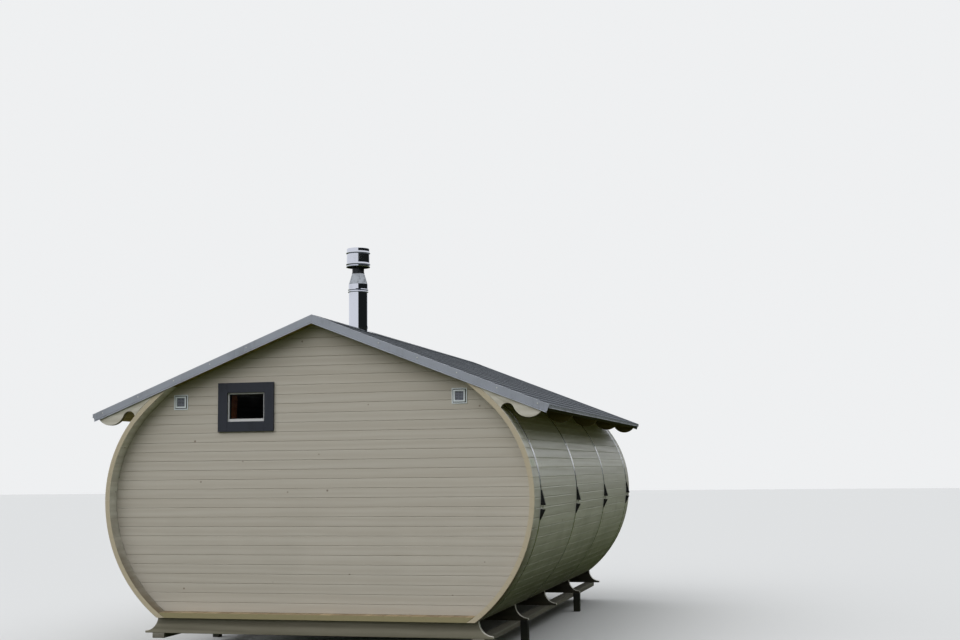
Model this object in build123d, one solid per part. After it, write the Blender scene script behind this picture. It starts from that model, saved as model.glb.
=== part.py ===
from build123d import *
from math import acos, asin, cos, degrees, hypot, radians, sin, tan
import os

# An oval timber barrel cabin on cradles, with a low gable roof.
# Millimetres, +Z up, the ground at Z 0. X runs across the cabin, Y along its length, and the origin is
# below its middle. The rear end, with the small window, faces -Y, and the door faces +Y.

# Barrel section, from the floor's underside up: a lower arc to the widest place, an upper arc, and a flatter
# shoulder arc whose length ends where the wall's outer face meets the roof deck
LENGTH = 5900.0
HALF_WIDTH = 2000.0
BULGE_HEIGHT = 1055.0
LOWER_RADIUS = 1320.0
UPPER_RADIUS = 1145.0
UPPER_ANGLE = 45.0
SHOULDER_RADIUS = 2830.0
SHOULDER_LENGTH = 219.6
STAVE_THICKNESS = 45.0
SEGMENT_WIDTH = 180.0
SEGMENT_JOINT = 0.5
FLOOR_THICKNESS = 45.0

# Base
POST_SIZE = 72.0
POST_HEIGHT = 210.0
RUNNER_WIDTH = 115.0
RUNNER_THICKNESS = 45.0
CRADLE_COUNT = 5
CRADLE_THICKNESS = 45.0
CRADLE_HEIGHT = 140.0
CRADLE_REACH = 136.7
CRADLE_INSET = 60.0
CRADLE_TIP = 20.0
SCALLOP_RADIUS = 125.0

# Roof. The reach runs down the slope from where the walls meet the deck, and layers lie one over another.
ROOF_PITCH = 21.6
EAVE_REACH = 660.0
DECK_THICKNESS = 45.0
DECK_SETBACK = 25.0
SHINGLE_THICKNESS = 15.0
RIDGE_CAP_WIDTH = 130.0
RIDGE_CAP_THICKNESS = 4.0
VERGE_OVERHANG = 3.0
SHEET = 2.0
FLASHING_COVER = 60.0
FLASHING_LIP = 10.0
MITRE_GAP = 1.0

# Eave brackets. The lobe's centre is placed from the eave's tip, along the slope and over the deck's foot.
BRACKET_COUNT = 5
BRACKET_THICKNESS = 45.0
LOBE_RADIUS = 143.0
LOBE_FROM_TIP = 182.0
LOBE_RISE = 32.0
NOTCH_RADIUS = 60.0
NOTCH_ANGLE = 202.4

# End walls
END_RECESS = 130.0
END_WALL = 45.0
WALL_FIT = 0.5

# Window in the rear wall. Its place is that of its outer upper corner below the deck.
WINDOW_X = -676.0
WINDOW_BELOW_DECK = 142.0
CASING_WIDTH = 540.0
CASING_DEPTH = 442.0
CASING_BAND = 91.0
CASING_THICKNESS = 20.0
FRAME_LAP = 10.0
FRAME_BAND = 22.0
FRAME_THICKNESS = 40.0
GLASS_THICKNESS = 6.0
GLASS_LAP = 8.0
LINING_THICKNESS = 18.0
LINING_DEPTH = 150.0

# Vents in the rear wall, placed in the same way, and in from where the wall meets the deck
VENT_FROM_SHOULDER = 116.5
VENT_BELOW_DECK = 63.0
VENT_SIZE = 138.0
VENT_BAND = 30.0
VENT_FRAME_THICKNESS = 12.0
VENT_LAP = 5.0
LOUVRE_COUNT = 6
LOUVRE_THICKNESS = 3.0
GRILLE_THICKNESS = 10.0

# Door in the front wall
DOOR_WIDTH = 800.0
DOOR_HEIGHT = 1850.0
DOOR_JAMB = 45.0
DOOR_CLEARANCE = 3.0
LEAF_THICKNESS = 40.0
HINGE_HEIGHTS = (250.0, 1600.0)
HINGE_LENGTH = 320.0
HINGE_HEIGHT = 40.0
HINGE_THICKNESS = 5.0
HINGE_JAMB_LAP = 35.0
HANDLE_HEIGHT = 950.0
HANDLE_LENGTH = 240.0
HANDLE_RADIUS = 12.0
HANDLE_LEG_RADIUS = 8.0
HANDLE_REACH = 45.0
HANDLE_EDGE = 70.0

# Steel hoops
HOOP_COUNT = 4
HOOP_INSET = 270.0
BAND_WIDTH = 40.0
BAND_THICKNESS = 2.0
BAND_FIT = 0.3
BAND_END_GAP = 45.0
TENSIONER_DROP = 95.0
TENSIONER_GAP = 34.0
TENSIONER_UPPER_BASE = 130.0
TENSIONER_LOWER_BASE = 95.0
TENSIONER_RISE = 38.0
TENSIONER_PLATE = 4.0
ROD_RADIUS = 5.0
ROD_OVERRUN = 22.0
NUT_RADIUS = 9.0
NUT_THICKNESS = 8.0
NUT_CLEARANCE = 1.0

# Chimney. The pipe's rise counts from the deck's underside at the ridge.
CHIMNEY_FROM_REAR = 1270.0
PIPE_RADIUS = 92.0
PIPE_BORE_RADIUS = 60.0
PIPE_BELOW_DECK = 60.0
PIPE_RISE = 498.0
PIPE_FIT = 0.3
ROOF_HOLE_CLEARANCE = 15.0
BOOT_SKIRT = 30.0
BOOT_UPSTAND = 10.0
BOOT_WALL = 3.0
COLLAR_WALL = 8.0
COLLAR_DROP = 2.0
COLLAR_HEIGHT = 80.0
COLLAR_GROOVE = 12.0
CONE_HEIGHT = 108.0
NECK_RADIUS = 58.0
NECK_BELOW_LID = 64.0
CAP_RADIUS = 112.0
CAP_ABOVE_CONE = 60.0
CAP_HEIGHT = 184.0
BEAD_PLACES = (21.0, 140.0)
BEAD_HEIGHT = 12.0
BEAD_DEPTH = 7.0
LID_HEIGHT = 14.0
FIN_COUNT = 3
FIN_HEIGHT = 80.0
FIN_INSET = 20.0

FLOOR_Z = POST_HEIGHT + CRADLE_HEIGHT
REAR_Y = -LENGTH / 2
FRONT_Y = LENGTH / 2
PITCH = radians(ROOF_PITCH)
SHINGLE_TOP = DECK_THICKNESS + SHINGLE_THICKNESS
FLASHING_TOP = SHINGLE_TOP + SHEET
FAR = 3 * HALF_WIDTH


def along(face, y_from, y_to):
    """A face drawn with X across and Y up, extruded along the cabin from one Y to another."""
    return Pos(0, y_to, 0) * Rot(90, 0, 0) * extrude(face, amount=y_to - y_from)


def outline(points):
    """A flat face with straight sides."""
    return make_face(Polyline(*points, close=True))


def mirrored(shape, side):
    """The shape itself on the right, where side is 1, or its mirror image on the left."""
    return shape if side > 0 else mirror(shape, about=Plane.YZ)


def block(x_from, x_to, y_from, y_to, z_from, z_to):
    """A box given by its two ends on each axis."""
    size = (x_to - x_from, y_to - y_from, z_to - z_from)
    centre = ((x_from + x_to) / 2, (y_from + y_to) / 2, (z_from + z_to) / 2)
    return Pos(*centre) * Box(*size)


def tube(outer, inner, z_from, z_to):
    """An upright tube on the chimney's axis."""
    height = z_to - z_from
    shape = Cylinder(outer, height) - Cylinder(inner, height)
    return CHIMNEY_AXIS * Pos(0, 0, (z_from + z_to) / 2) * shape


# Barrel section

def arc_centre(arc):
    """Centre of the lower, upper or shoulder arc of the right side."""
    if arc == "lower":
        return HALF_WIDTH - LOWER_RADIUS, FLOOR_Z + BULGE_HEIGHT
    upper_x = HALF_WIDTH - UPPER_RADIUS
    upper_z = FLOOR_Z + BULGE_HEIGHT
    if arc == "upper":
        return upper_x, upper_z
    shift = UPPER_RADIUS - SHOULDER_RADIUS
    turn = radians(UPPER_ANGLE)
    return upper_x + shift * cos(turn), upper_z + shift * sin(turn)


ARC_RADIUS = {"lower": LOWER_RADIUS, "upper": UPPER_RADIUS, "shoulder": SHOULDER_RADIUS}


def on_arc(arc, turn, depth):
    """A point at an angle in degrees on an arc, at a depth inside the outer face."""
    centre_x, centre_z = arc_centre(arc)
    radius = ARC_RADIUS[arc] - depth
    return centre_x + radius * cos(radians(turn)), centre_z + radius * sin(radians(turn))


def turn_at_floor(depth):
    """Angle below the bulge at which the lower arc meets the floor's underside."""
    return degrees(asin(BULGE_HEIGHT / (LOWER_RADIUS - depth)))


SHOULDER_END = UPPER_ANGLE + degrees(SHOULDER_LENGTH / SHOULDER_RADIUS)
SHOULDER_X, SHOULDER_Z = on_arc("shoulder", SHOULDER_END, 0)
RIDGE_Z = SHOULDER_Z + SHOULDER_X * tan(PITCH)
SLOPE_LENGTH = SHOULDER_X / cos(PITCH) + EAVE_REACH


def turn_at_roof(depth):
    """Angle at which an arc inside the shoulder's outer face meets the deck's underside."""
    square = 90 - ROOF_PITCH
    over_centre = SHOULDER_RADIUS * cos(radians(square - SHOULDER_END))
    return square - degrees(acos(over_centre / (SHOULDER_RADIUS - depth)))


CUT_MARGIN = 1.0
ARC_SPAN = {
    "lower": (-turn_at_floor(STAVE_THICKNESS) - CUT_MARGIN, 0.0),
    "upper": (0.0, UPPER_ANGLE),
    "shoulder": (UPPER_ANGLE, turn_at_roof(STAVE_THICKNESS) + CUT_MARGIN),
}


def arc_turns(arc):
    """Angles of the joints between the flat segments of one arc."""
    start, end = ARC_SPAN[arc]
    count = max(1, round(radians(end - start) * ARC_RADIUS[arc] / SEGMENT_WIDTH))
    return [start + (end - start) * step / count for step in range(count + 1)]


def roof_point(run, rise):
    """A point of the right slope: a distance down it, and a height square to it over the underside."""
    across = run * cos(PITCH) + rise * sin(PITCH)
    return across, RIDGE_Z - run * sin(PITCH) + rise * cos(PITCH)


def height_below_deck(across):
    """Height of the deck's underside at a distance from the ridge."""
    return RIDGE_Z - across * tan(PITCH)


def roof_layer(run, low, high):
    """Section of one layer of the right slope, cut upright at the ridge."""
    ridge = RIDGE_Z
    corners = [(0, ridge + low / cos(PITCH)), roof_point(run, low), roof_point(run, high)]
    return outline(corners + [(0, ridge + high / cos(PITCH))])


def below_roof(bottom, fit):
    """Section of all that lies over a height and under the deck of both slopes, less a fit."""
    top = RIDGE_Z - fit / cos(PITCH)
    reach = (top - bottom) / tan(PITCH)
    return outline([(-reach, bottom), (reach, bottom), (0, top)])


def segment(arc, turn_from, turn_to):
    """Section of one flat-faced segment of the right side wall, a joint's half short at both ends."""
    corners = []
    for turn, depth, shift in ((turn_from, 0, 1), (turn_to, 0, -1), (turn_to, 1, -1), (turn_from, 1, 1)):
        spare = degrees(SEGMENT_JOINT / 2 / (ARC_RADIUS[arc] - STAVE_THICKNESS))
        corners.append(on_arc(arc, turn + shift * spare, depth * STAVE_THICKNESS))
    return outline(corners)


def side_wall(arc, side):
    """All the segments of one arc of a side wall, between the floor's underside and the deck."""
    turns = arc_turns(arc)
    window = below_roof(FLOOR_Z, WALL_FIT)
    pieces = []
    for turn_from, turn_to in zip(turns, turns[1:]):
        piece = along(segment(arc, turn_from, turn_to) & window, REAR_Y, FRONT_Y)
        pieces.append(mirrored(piece, side))
    return pieces


def wall_points(depth):
    """Corners of the right wall's section from the bottom up, at a depth inside its outer face."""
    points = []
    for arc in ("lower", "upper", "shoulder"):
        shared = 1 if points else 0
        points += [on_arc(arc, turn, depth) for turn in arc_turns(arc)[shared:]]
    return points


def within_walls(depth):
    """Section of the barrel's inside and all that is over it, at a depth inside the walls' outer face."""
    right = wall_points(depth) + [(HALF_WIDTH / 2, FAR)]
    left = [(-across, height) for across, height in reversed(right)]
    return outline(right + left)


def room_section(bottom):
    """Section of the space between the walls and under the deck, over a height, less a fit."""
    return within_walls(STAVE_THICKNESS + WALL_FIT) & below_roof(bottom, WALL_FIT)


# Base

def spread(first, last, count):
    """Evenly spaced places from the first to the last."""
    return [first + (last - first) * step / (count - 1) for step in range(count)]


CRADLE_PLACES = spread(REAR_Y + CRADLE_INSET, FRONT_Y - CRADLE_INSET - CRADLE_THICKNESS, CRADLE_COUNT)
CRADLE_HALF_LENGTH = on_arc("lower", -turn_at_floor(0), 0)[0] + CRADLE_REACH
POST_X = CRADLE_HALF_LENGTH - POST_SIZE / 2
RUNNER_X = CRADLE_HALF_LENGTH - POST_SIZE - RUNNER_WIDTH / 2


def cradle(y_from):
    """A cross board that hugs the barrel's foot, with a scalloped end on each side."""
    bottom = FLOOR_Z - CRADLE_HEIGHT
    scallop_z = bottom + CRADLE_TIP + SCALLOP_RADIUS
    board = Pos(0, (bottom + scallop_z) / 2) * Rectangle(2 * CRADLE_HALF_LENGTH, scallop_z - bottom)
    for side in (-1, 1):
        board -= Pos(side * CRADLE_HALF_LENGTH, scallop_z) * Circle(SCALLOP_RADIUS)
    board -= within_walls(-WALL_FIT) & below_roof(FLOOR_Z, 0)
    return along(board, y_from, y_from + CRADLE_THICKNESS)


def runner(side):
    """A plank on its flat below the cradles, along the inner sides of the posts."""
    x = side * RUNNER_X
    y_end = FRONT_Y - CRADLE_INSET
    half = RUNNER_WIDTH / 2
    return block(x - half, x + half, -y_end, y_end, POST_HEIGHT - RUNNER_THICKNESS, POST_HEIGHT)


def support_posts():
    """Square posts below the tips of every second cradle, from the second one on."""
    posts = []
    half = POST_SIZE / 2
    for place in CRADLE_PLACES[1::2]:
        y = place + CRADLE_THICKNESS / 2
        for x in (-POST_X, POST_X):
            posts.append(block(x - half, x + half, y - half, y + half, 0, POST_HEIGHT))
    return posts


def floor():
    """The floor slab between the feet of the side walls."""
    middle = FLOOR_Z + FLOOR_THICKNESS / 2
    level = Pos(0, middle) * Rectangle(FAR, FLOOR_THICKNESS)
    return along(within_walls(STAVE_THICKNESS + WALL_FIT) & level, REAR_Y, FRONT_Y)


# End walls

FLOOR_TOP = FLOOR_Z + FLOOR_THICKNESS
REAR_FACE = REAR_Y + END_RECESS
FRONT_FACE = FRONT_Y - END_RECESS
WINDOW_Z = height_below_deck(abs(WINDOW_X) + CASING_WIDTH / 2) - WINDOW_BELOW_DECK - CASING_DEPTH / 2
VENT_X = SHOULDER_X - VENT_FROM_SHOULDER - VENT_SIZE / 2
VENT_Z = height_below_deck(VENT_X + VENT_SIZE / 2) - VENT_BELOW_DECK - VENT_SIZE / 2
FRAME_OUTER_WIDTH = CASING_WIDTH - 2 * CASING_BAND + 2 * FRAME_LAP
FRAME_OUTER_DEPTH = CASING_DEPTH - 2 * CASING_BAND + 2 * FRAME_LAP
VENT_HOLE = VENT_SIZE - 2 * VENT_BAND + 2 * VENT_LAP


def rear_wall():
    """The boarded wall with a hole for the window and one for each vent."""
    hole = Rectangle(FRAME_OUTER_WIDTH + 2 * WALL_FIT, FRAME_OUTER_DEPTH + 2 * WALL_FIT)
    section = room_section(FLOOR_TOP) - Pos(WINDOW_X, WINDOW_Z) * hole
    for side in (-1, 1):
        section -= Pos(side * VENT_X, VENT_Z) * Rectangle(VENT_HOLE, VENT_HOLE)
    return along(section, REAR_FACE, REAR_FACE + END_WALL)


def front_wall(place):
    """The part of the front wall left of, right of or over the doorway."""
    section = room_section(FLOOR_TOP)
    half = DOOR_WIDTH / 2 + DOOR_JAMB + WALL_FIT
    top = FLOOR_TOP + DOOR_HEIGHT + DOOR_JAMB + WALL_FIT
    if place == "over":
        section &= Pos(0, top + FAR) * Rectangle(2 * half - 2 * WALL_FIT, 2 * FAR)
    else:
        side = -1 if place == "left" else 1
        section &= Pos(side * (half + FAR), FLOOR_Z) * Rectangle(2 * FAR, 4 * FAR)
    return along(section, FRONT_FACE - END_WALL, FRONT_FACE)


def rectangle_ring(width, height, band):
    """Section of a picture frame."""
    return Rectangle(width, height) - Rectangle(width - 2 * band, height - 2 * band)


def four_bars(width, height, band):
    """Sections of the top, bottom and side bars of a frame, the side bars between the others."""
    side_height = height - 2 * band - 2 * WALL_FIT
    bars = [Pos(0, end * (height - band) / 2) * Rectangle(width, band) for end in (-1, 1)]
    return bars + [Pos(end * (width - band) / 2, 0) * Rectangle(band, side_height) for end in (-1, 1)]


def window_casing():
    """The dark boards around the window, on the wall's outer face."""
    place = Pos(WINDOW_X, WINDOW_Z)
    boards = four_bars(CASING_WIDTH, CASING_DEPTH, CASING_BAND)
    return [along(place * board, REAR_FACE - CASING_THICKNESS, REAR_FACE) for board in boards]


def window_frame():
    """The pale frame in the wall's hole, with a rebate for the glass, and the boards that line it inside."""
    place = Pos(WINDOW_X, WINDOW_Z)
    bars = four_bars(FRAME_OUTER_WIDTH, FRAME_OUTER_DEPTH, FRAME_BAND)
    linings = four_bars(FRAME_OUTER_WIDTH, FRAME_OUTER_DEPTH, LINING_THICKNESS)
    pane = window_glass()
    back = REAR_FACE + FRAME_THICKNESS
    pieces = [along(place * bar, REAR_FACE, back) - pane for bar in bars]
    return pieces + [along(place * board, back, back + LINING_DEPTH) for board in linings]


def window_glass():
    """The pane in the frame's rebate."""
    width = FRAME_OUTER_WIDTH - 2 * FRAME_BAND + 2 * GLASS_LAP
    depth = FRAME_OUTER_DEPTH - 2 * FRAME_BAND + 2 * GLASS_LAP
    middle = REAR_FACE + FRAME_THICKNESS / 2
    half = GLASS_THICKNESS / 2
    return block(WINDOW_X - width / 2, WINDOW_X + width / 2, middle - half, middle + half,
                 WINDOW_Z - depth / 2, WINDOW_Z + depth / 2)


def vent_frame(side):
    """The square rim of a vent on the wall's outer face."""
    ring = Pos(side * VENT_X, VENT_Z) * rectangle_ring(VENT_SIZE, VENT_SIZE, VENT_BAND)
    return along(ring, REAR_FACE - VENT_FRAME_THICKNESS, REAR_FACE)


def vent_grille(side):
    """Level louvres in a thin rim, set in the wall's hole."""
    size = VENT_HOLE - 2 * WALL_FIT
    grille = rectangle_ring(size, size, VENT_LAP)
    pitch = (size - 2 * VENT_LAP) / LOUVRE_COUNT
    for step in range(1, LOUVRE_COUNT):
        height = -size / 2 + VENT_LAP + step * pitch
        grille += Pos(0, height) * Rectangle(size - VENT_LAP, LOUVRE_THICKNESS)
    return along(Pos(side * VENT_X, VENT_Z) * grille, REAR_FACE, REAR_FACE + GRILLE_THICKNESS)


# Door

DOOR_HALF = DOOR_WIDTH / 2


def door_frame():
    """Two jambs and a head over them in the front wall's opening."""
    half = DOOR_HALF + DOOR_JAMB
    top = FLOOR_TOP + DOOR_HEIGHT
    inside = FRONT_FACE - END_WALL
    head = block(-half, half, inside, FRONT_FACE, top, top + DOOR_JAMB)
    jamb = block(DOOR_HALF, half, inside, FRONT_FACE, FLOOR_TOP, top - WALL_FIT)
    return [head, jamb, mirrored(jamb, -1)]


def door_leaf():
    """The closed leaf, flush with the wall's outer face."""
    half = DOOR_HALF - DOOR_CLEARANCE
    top = FLOOR_TOP + DOOR_HEIGHT - DOOR_CLEARANCE
    return block(-half, half, FRONT_FACE - LEAF_THICKNESS, FRONT_FACE, FLOOR_TOP + DOOR_CLEARANCE, top)


def door_hinges():
    """Strap hinges across the leaf, each lapped on the left jamb seen from outside."""
    straps = []
    edge = DOOR_HALF + HINGE_JAMB_LAP
    for height in HINGE_HEIGHTS:
        z = FLOOR_TOP + height
        straps.append(block(edge - HINGE_LENGTH, edge, FRONT_FACE, FRONT_FACE + HINGE_THICKNESS,
                            z - HINGE_HEIGHT / 2, z + HINGE_HEIGHT / 2))
    return straps


def door_handle():
    """An upright pull bar on two short legs."""
    x = -DOOR_HALF + DOOR_CLEARANCE + HANDLE_EDGE
    z = FLOOR_TOP + HANDLE_HEIGHT
    bar = Pos(x, FRONT_FACE + HANDLE_REACH, z) * Cylinder(HANDLE_RADIUS, HANDLE_LENGTH)
    for end in (-1, 1):
        leg_z = z + end * (HANDLE_LENGTH / 2 - 2 * HANDLE_RADIUS)
        place = Pos(x, FRONT_FACE + HANDLE_REACH / 2, leg_z) * Rot(90, 0, 0)
        bar += place * Cylinder(HANDLE_LEG_RADIUS, HANDLE_REACH)
    return bar


# Roof

ROOF_REAR = REAR_Y - VERGE_OVERHANG
ROOF_FRONT = FRONT_Y + VERGE_OVERHANG
CHIMNEY_AXIS = Pos(0, REAR_Y + CHIMNEY_FROM_REAR, 0)
ROOF_HOLE = CHIMNEY_AXIS * Cylinder(PIPE_RADIUS + ROOF_HOLE_CLEARANCE, 4 * FAR)


def roof_deck(side):
    """The boards of one slope."""
    boards = along(roof_layer(SLOPE_LENGTH - DECK_SETBACK, 0, DECK_THICKNESS), ROOF_REAR, ROOF_FRONT)
    return mirrored(boards - ROOF_HOLE, side)


def shingles(side):
    """The shingle layer of one slope, which runs out past the deck's edge."""
    layer = along(roof_layer(SLOPE_LENGTH, DECK_THICKNESS, SHINGLE_TOP), ROOF_REAR, ROOF_FRONT)
    return mirrored(layer - ROOF_HOLE, side)


def ridge_cap():
    """The folded strip over the ridge, between the verge flashings."""
    half = roof_layer(RIDGE_CAP_WIDTH, SHINGLE_TOP, SHINGLE_TOP + RIDGE_CAP_THICKNESS)
    folded = half + mirror(half, about=Plane.YZ)
    return along(folded, ROOF_REAR + FLASHING_COVER, ROOF_FRONT - FLASHING_COVER) - ROOF_HOLE


def verge_flashing(end):
    """Two lengths of folded sheet on one gable end: a face with a lip below, and a leg over the shingles."""
    edge = ROOF_FRONT
    face = along(roof_layer(SLOPE_LENGTH, 0, FLASHING_TOP), edge, edge + SHEET)
    leg = along(roof_layer(SLOPE_LENGTH, SHINGLE_TOP, FLASHING_TOP), edge - FLASHING_COVER, edge + SHEET)
    lip = along(roof_layer(SLOPE_LENGTH, 0, SHEET), edge, edge + SHEET + FLASHING_LIP)
    length = face + leg + lip
    length -= block(-FAR, MITRE_GAP / 2, 0, FAR, 0, FAR)
    if end == "rear":
        length = mirror(length, about=Plane.XZ)
    return [mirrored(length, side) for side in (-1, 1)]


def eave_bracket_section():
    """Section of a bracket: a round notch beside the barrel, then a lobe out to the eave."""
    lobe_x, lobe_z = roof_point(SLOPE_LENGTH - LOBE_FROM_TIP, LOBE_RISE)
    reach = LOBE_RADIUS + NOTCH_RADIUS
    notch_x = lobe_x + reach * cos(radians(NOTCH_ANGLE))
    notch_z = lobe_z + reach * sin(radians(NOTCH_ANGLE))
    inside = (notch_x - HALF_WIDTH / 2, notch_z)
    over = roof_point(SLOPE_LENGTH - LOBE_FROM_TIP, FAR)
    web = outline([inside, (notch_x, notch_z), (lobe_x, lobe_z), over, (inside[0], FAR)])
    web += Pos(lobe_x, lobe_z) * Circle(LOBE_RADIUS)
    web -= Pos(notch_x, notch_z) * Circle(NOTCH_RADIUS)
    return (web & below_roof(0, WALL_FIT)) - within_walls(-WALL_FIT)


def eave_brackets(side):
    """The brackets of one side, the end ones flush with the barrel's rims."""
    section = eave_bracket_section()
    places = spread(REAR_Y, FRONT_Y - BRACKET_THICKNESS, BRACKET_COUNT)
    return [mirrored(along(section, y, y + BRACKET_THICKNESS), side) for y in places]


# Hoops

TENSIONER_TURN = -degrees(asin(TENSIONER_DROP / LOWER_RADIUS))
GAP_TURN = degrees(TENSIONER_GAP / 2 / LOWER_RADIUS)
BRACKET_BASE = {1: TENSIONER_UPPER_BASE, -1: TENSIONER_LOWER_BASE}
HOOP_PLACES = spread(REAR_Y + HOOP_INSET, FRONT_Y - HOOP_INSET, HOOP_COUNT)


def band_arc(arc, turn_from, turn_to):
    """Section of a stretch of band on one arc of the right side."""
    centre_x, centre_z = arc_centre(arc)
    inner = ARC_RADIUS[arc] + BAND_FIT
    ring = Pos(centre_x, centre_z) * (Circle(inner + BAND_THICKNESS) - Circle(inner))
    reach = 2 * inner
    spread_points = [(centre_x, centre_z)]
    for turn in (turn_from, (turn_from + turn_to) / 2, turn_to):
        spread_points.append((centre_x + reach * cos(radians(turn)), centre_z + reach * sin(radians(turn))))
    return ring & outline(spread_points)


def band_top_turn():
    """Angle on the shoulder arc where the band ends, short of the deck."""
    return SHOULDER_END - degrees(BAND_END_GAP / SHOULDER_RADIUS)


def hoops():
    """Four hoops, each a loop under the floor between the tensioners and a band over each shoulder."""
    upper = band_arc("lower", TENSIONER_TURN + GAP_TURN, 0) + band_arc("upper", 0, UPPER_ANGLE)
    upper += band_arc("shoulder", UPPER_ANGLE, band_top_turn())
    lower = band_arc("lower", -turn_at_floor(0), TENSIONER_TURN - GAP_TURN)
    foot_x = on_arc("lower", -turn_at_floor(0), 0)[0]
    below = FLOOR_Z - BAND_FIT - BAND_THICKNESS / 2
    loop = lower + mirror(lower, about=Plane.YZ)
    loop += Pos(0, below) * Rectangle(2 * foot_x + 2 * BAND_THICKNESS, BAND_THICKNESS)
    pieces = [loop, upper, mirror(upper, about=Plane.YZ)]
    return [along(piece, y - BAND_WIDTH / 2, y + BAND_WIDTH / 2) for y in HOOP_PLACES for piece in pieces]


def band_frame(turn, offset):
    """Place on the right side's lower arc, outside the band, its X outward and its Y up along the band."""
    x, z = on_arc("lower", turn, -BAND_FIT - BAND_THICKNESS - offset)
    return Pos(x, z) * Rot(0, 0, turn)


def bracket_turn(end):
    """Angle from the gap's middle to that of the upper or lower bracket's base."""
    return end * degrees((TENSIONER_GAP + BRACKET_BASE[end]) / 2 / LOWER_RADIUS)


def tensioner_bracket(end):
    """Section of a folded triangle on the band, with its upright plate towards the gap."""
    base = BRACKET_BASE[end]
    near = -end * base / 2
    far = end * base / 2
    triangle = outline([(BAND_FIT, near), (BAND_FIT, far), (TENSIONER_RISE, near)])
    slope = (TENSIONER_RISE - BAND_FIT) / base
    plate = TENSIONER_PLATE
    foot = BAND_FIT + plate
    inner_near = near + end * plate
    inner_rise = TENSIONER_RISE - slope * plate - plate * hypot(1, slope)
    inner_far = inner_near + end * (inner_rise - foot) / slope
    hollow = outline([(foot, inner_near), (foot, inner_far), (inner_rise, inner_near)])
    return band_frame(TENSIONER_TURN + bracket_turn(end), 0) * (triangle - hollow)


FOOT_LIFT = hypot(LOWER_RADIUS, max(BRACKET_BASE.values()) / 2) - LOWER_RADIUS
ROD_OFFSET = BAND_FIT + FOOT_LIFT + TENSIONER_PLATE + NUT_RADIUS + NUT_CLEARANCE


def rod_axis(y):
    """Place of a rod's middle on the right side, its Z along the rod."""
    x, z = on_arc("lower", TENSIONER_TURN, -BAND_FIT - BAND_THICKNESS - ROD_OFFSET)
    return Pos(x, y, z) * Rot(90, 0, 0) * Rot(0, 0, TENSIONER_TURN) * Rot(90, 0, 0)


def tensioner_brackets():
    """Two brackets at each hoop on each side, bored for the rod."""
    pieces = []
    bore = Cylinder(ROD_RADIUS + BAND_FIT, 2 * (TENSIONER_GAP + TENSIONER_PLATE + ROD_OVERRUN))
    for y in HOOP_PLACES:
        for end in (-1, 1):
            folded = along(tensioner_bracket(end), y - BAND_WIDTH / 2, y + BAND_WIDTH / 2)
            piece = folded - rod_axis(y) * bore
            pieces += [mirrored(piece, side) for side in (-1, 1)]
    return pieces


def nut_place(end):
    """Distance from a rod's middle to the plate side of its nut, clear of the leaning plate."""
    lean = (ROD_OFFSET + NUT_RADIUS) * tan(radians(abs(bracket_turn(end))))
    return TENSIONER_GAP / 2 + TENSIONER_PLATE + lean + BAND_FIT


def tensioner_rods():
    """A threaded rod with a nut behind each bracket's upright plate."""
    pieces = []
    up = nut_place(1) + ROD_OVERRUN
    down = nut_place(-1) + ROD_OVERRUN
    rod = Pos(0, 0, (down - up) / 2) * Cylinder(ROD_RADIUS, up + down)
    nut = extrude(RegularPolygon(NUT_RADIUS, 6), amount=NUT_THICKNESS / 2, both=True)
    for end in (-1, 1):
        rod += Pos(0, 0, -end * (nut_place(end) + NUT_THICKNESS / 2)) * nut
    for y in HOOP_PLACES:
        placed = rod_axis(y) * rod
        pieces += [mirrored(placed, side) for side in (-1, 1)]
    return pieces


# Chimney

CAP_SEAT = SHINGLE_TOP + RIDGE_CAP_THICKNESS
PIPE_TOP = RIDGE_Z + PIPE_RISE
CONE_TOP = PIPE_TOP + CONE_HEIGHT
CAP_TOP = CONE_TOP + CAP_ABOVE_CONE + CAP_HEIGHT
NECK_TOP = CAP_TOP - LID_HEIGHT - NECK_BELOW_LID


def chimney_pipe():
    """The insulated pipe from under the deck to the cone."""
    return tube(PIPE_RADIUS, PIPE_BORE_RADIUS, RIDGE_Z - PIPE_BELOW_DECK, PIPE_TOP)


def chimney_boot():
    """A saddle on the ridge cap with an upstand around the pipe."""
    half = roof_layer(PIPE_RADIUS + BOOT_SKIRT, CAP_SEAT, CAP_SEAT + SHEET)
    reach = PIPE_RADIUS + BOOT_SKIRT
    y = REAR_Y + CHIMNEY_FROM_REAR
    saddle = along(half + mirror(half, about=Plane.YZ), y - reach, y + reach)
    ridge_top = RIDGE_Z + (CAP_SEAT + SHEET) / cos(PITCH)
    outer = PIPE_RADIUS + PIPE_FIT + BOOT_WALL
    upstand = CHIMNEY_AXIS * Pos(0, 0, ridge_top) * Cylinder(outer, 2 * BOOT_UPSTAND)
    under = roof_layer(FAR, -FAR, CAP_SEAT)
    boot = (saddle + upstand) - along(under + mirror(under, about=Plane.YZ), y - FAR, y + FAR)
    return boot - CHIMNEY_AXIS * Cylinder(PIPE_RADIUS + PIPE_FIT, 4 * FAR)


def chimney_collar():
    """The locking band around the pipe's top, with a groove between its two rings."""
    top = PIPE_TOP - COLLAR_DROP
    bottom = top - COLLAR_HEIGHT
    middle = (bottom + top) / 2
    outer = PIPE_RADIUS + PIPE_FIT + COLLAR_WALL
    half = COLLAR_GROOVE / 2
    groove = tube(outer + COLLAR_WALL, outer - COLLAR_WALL / 2, middle - half, middle + half)
    return tube(outer, PIPE_RADIUS + PIPE_FIT, bottom, top) - groove


def chimney_cone():
    """The cone on the pipe's top with the neck that runs up into the cap."""
    outside = [(PIPE_RADIUS, PIPE_TOP), (NECK_RADIUS, CONE_TOP), (NECK_RADIUS, NECK_TOP)]
    inside = [(radius - SHEET, height) for radius, height in reversed(outside)]
    profile = outline(outside + inside)
    return CHIMNEY_AXIS * revolve(Rot(90, 0, 0) * profile, axis=Axis.Z)


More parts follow.
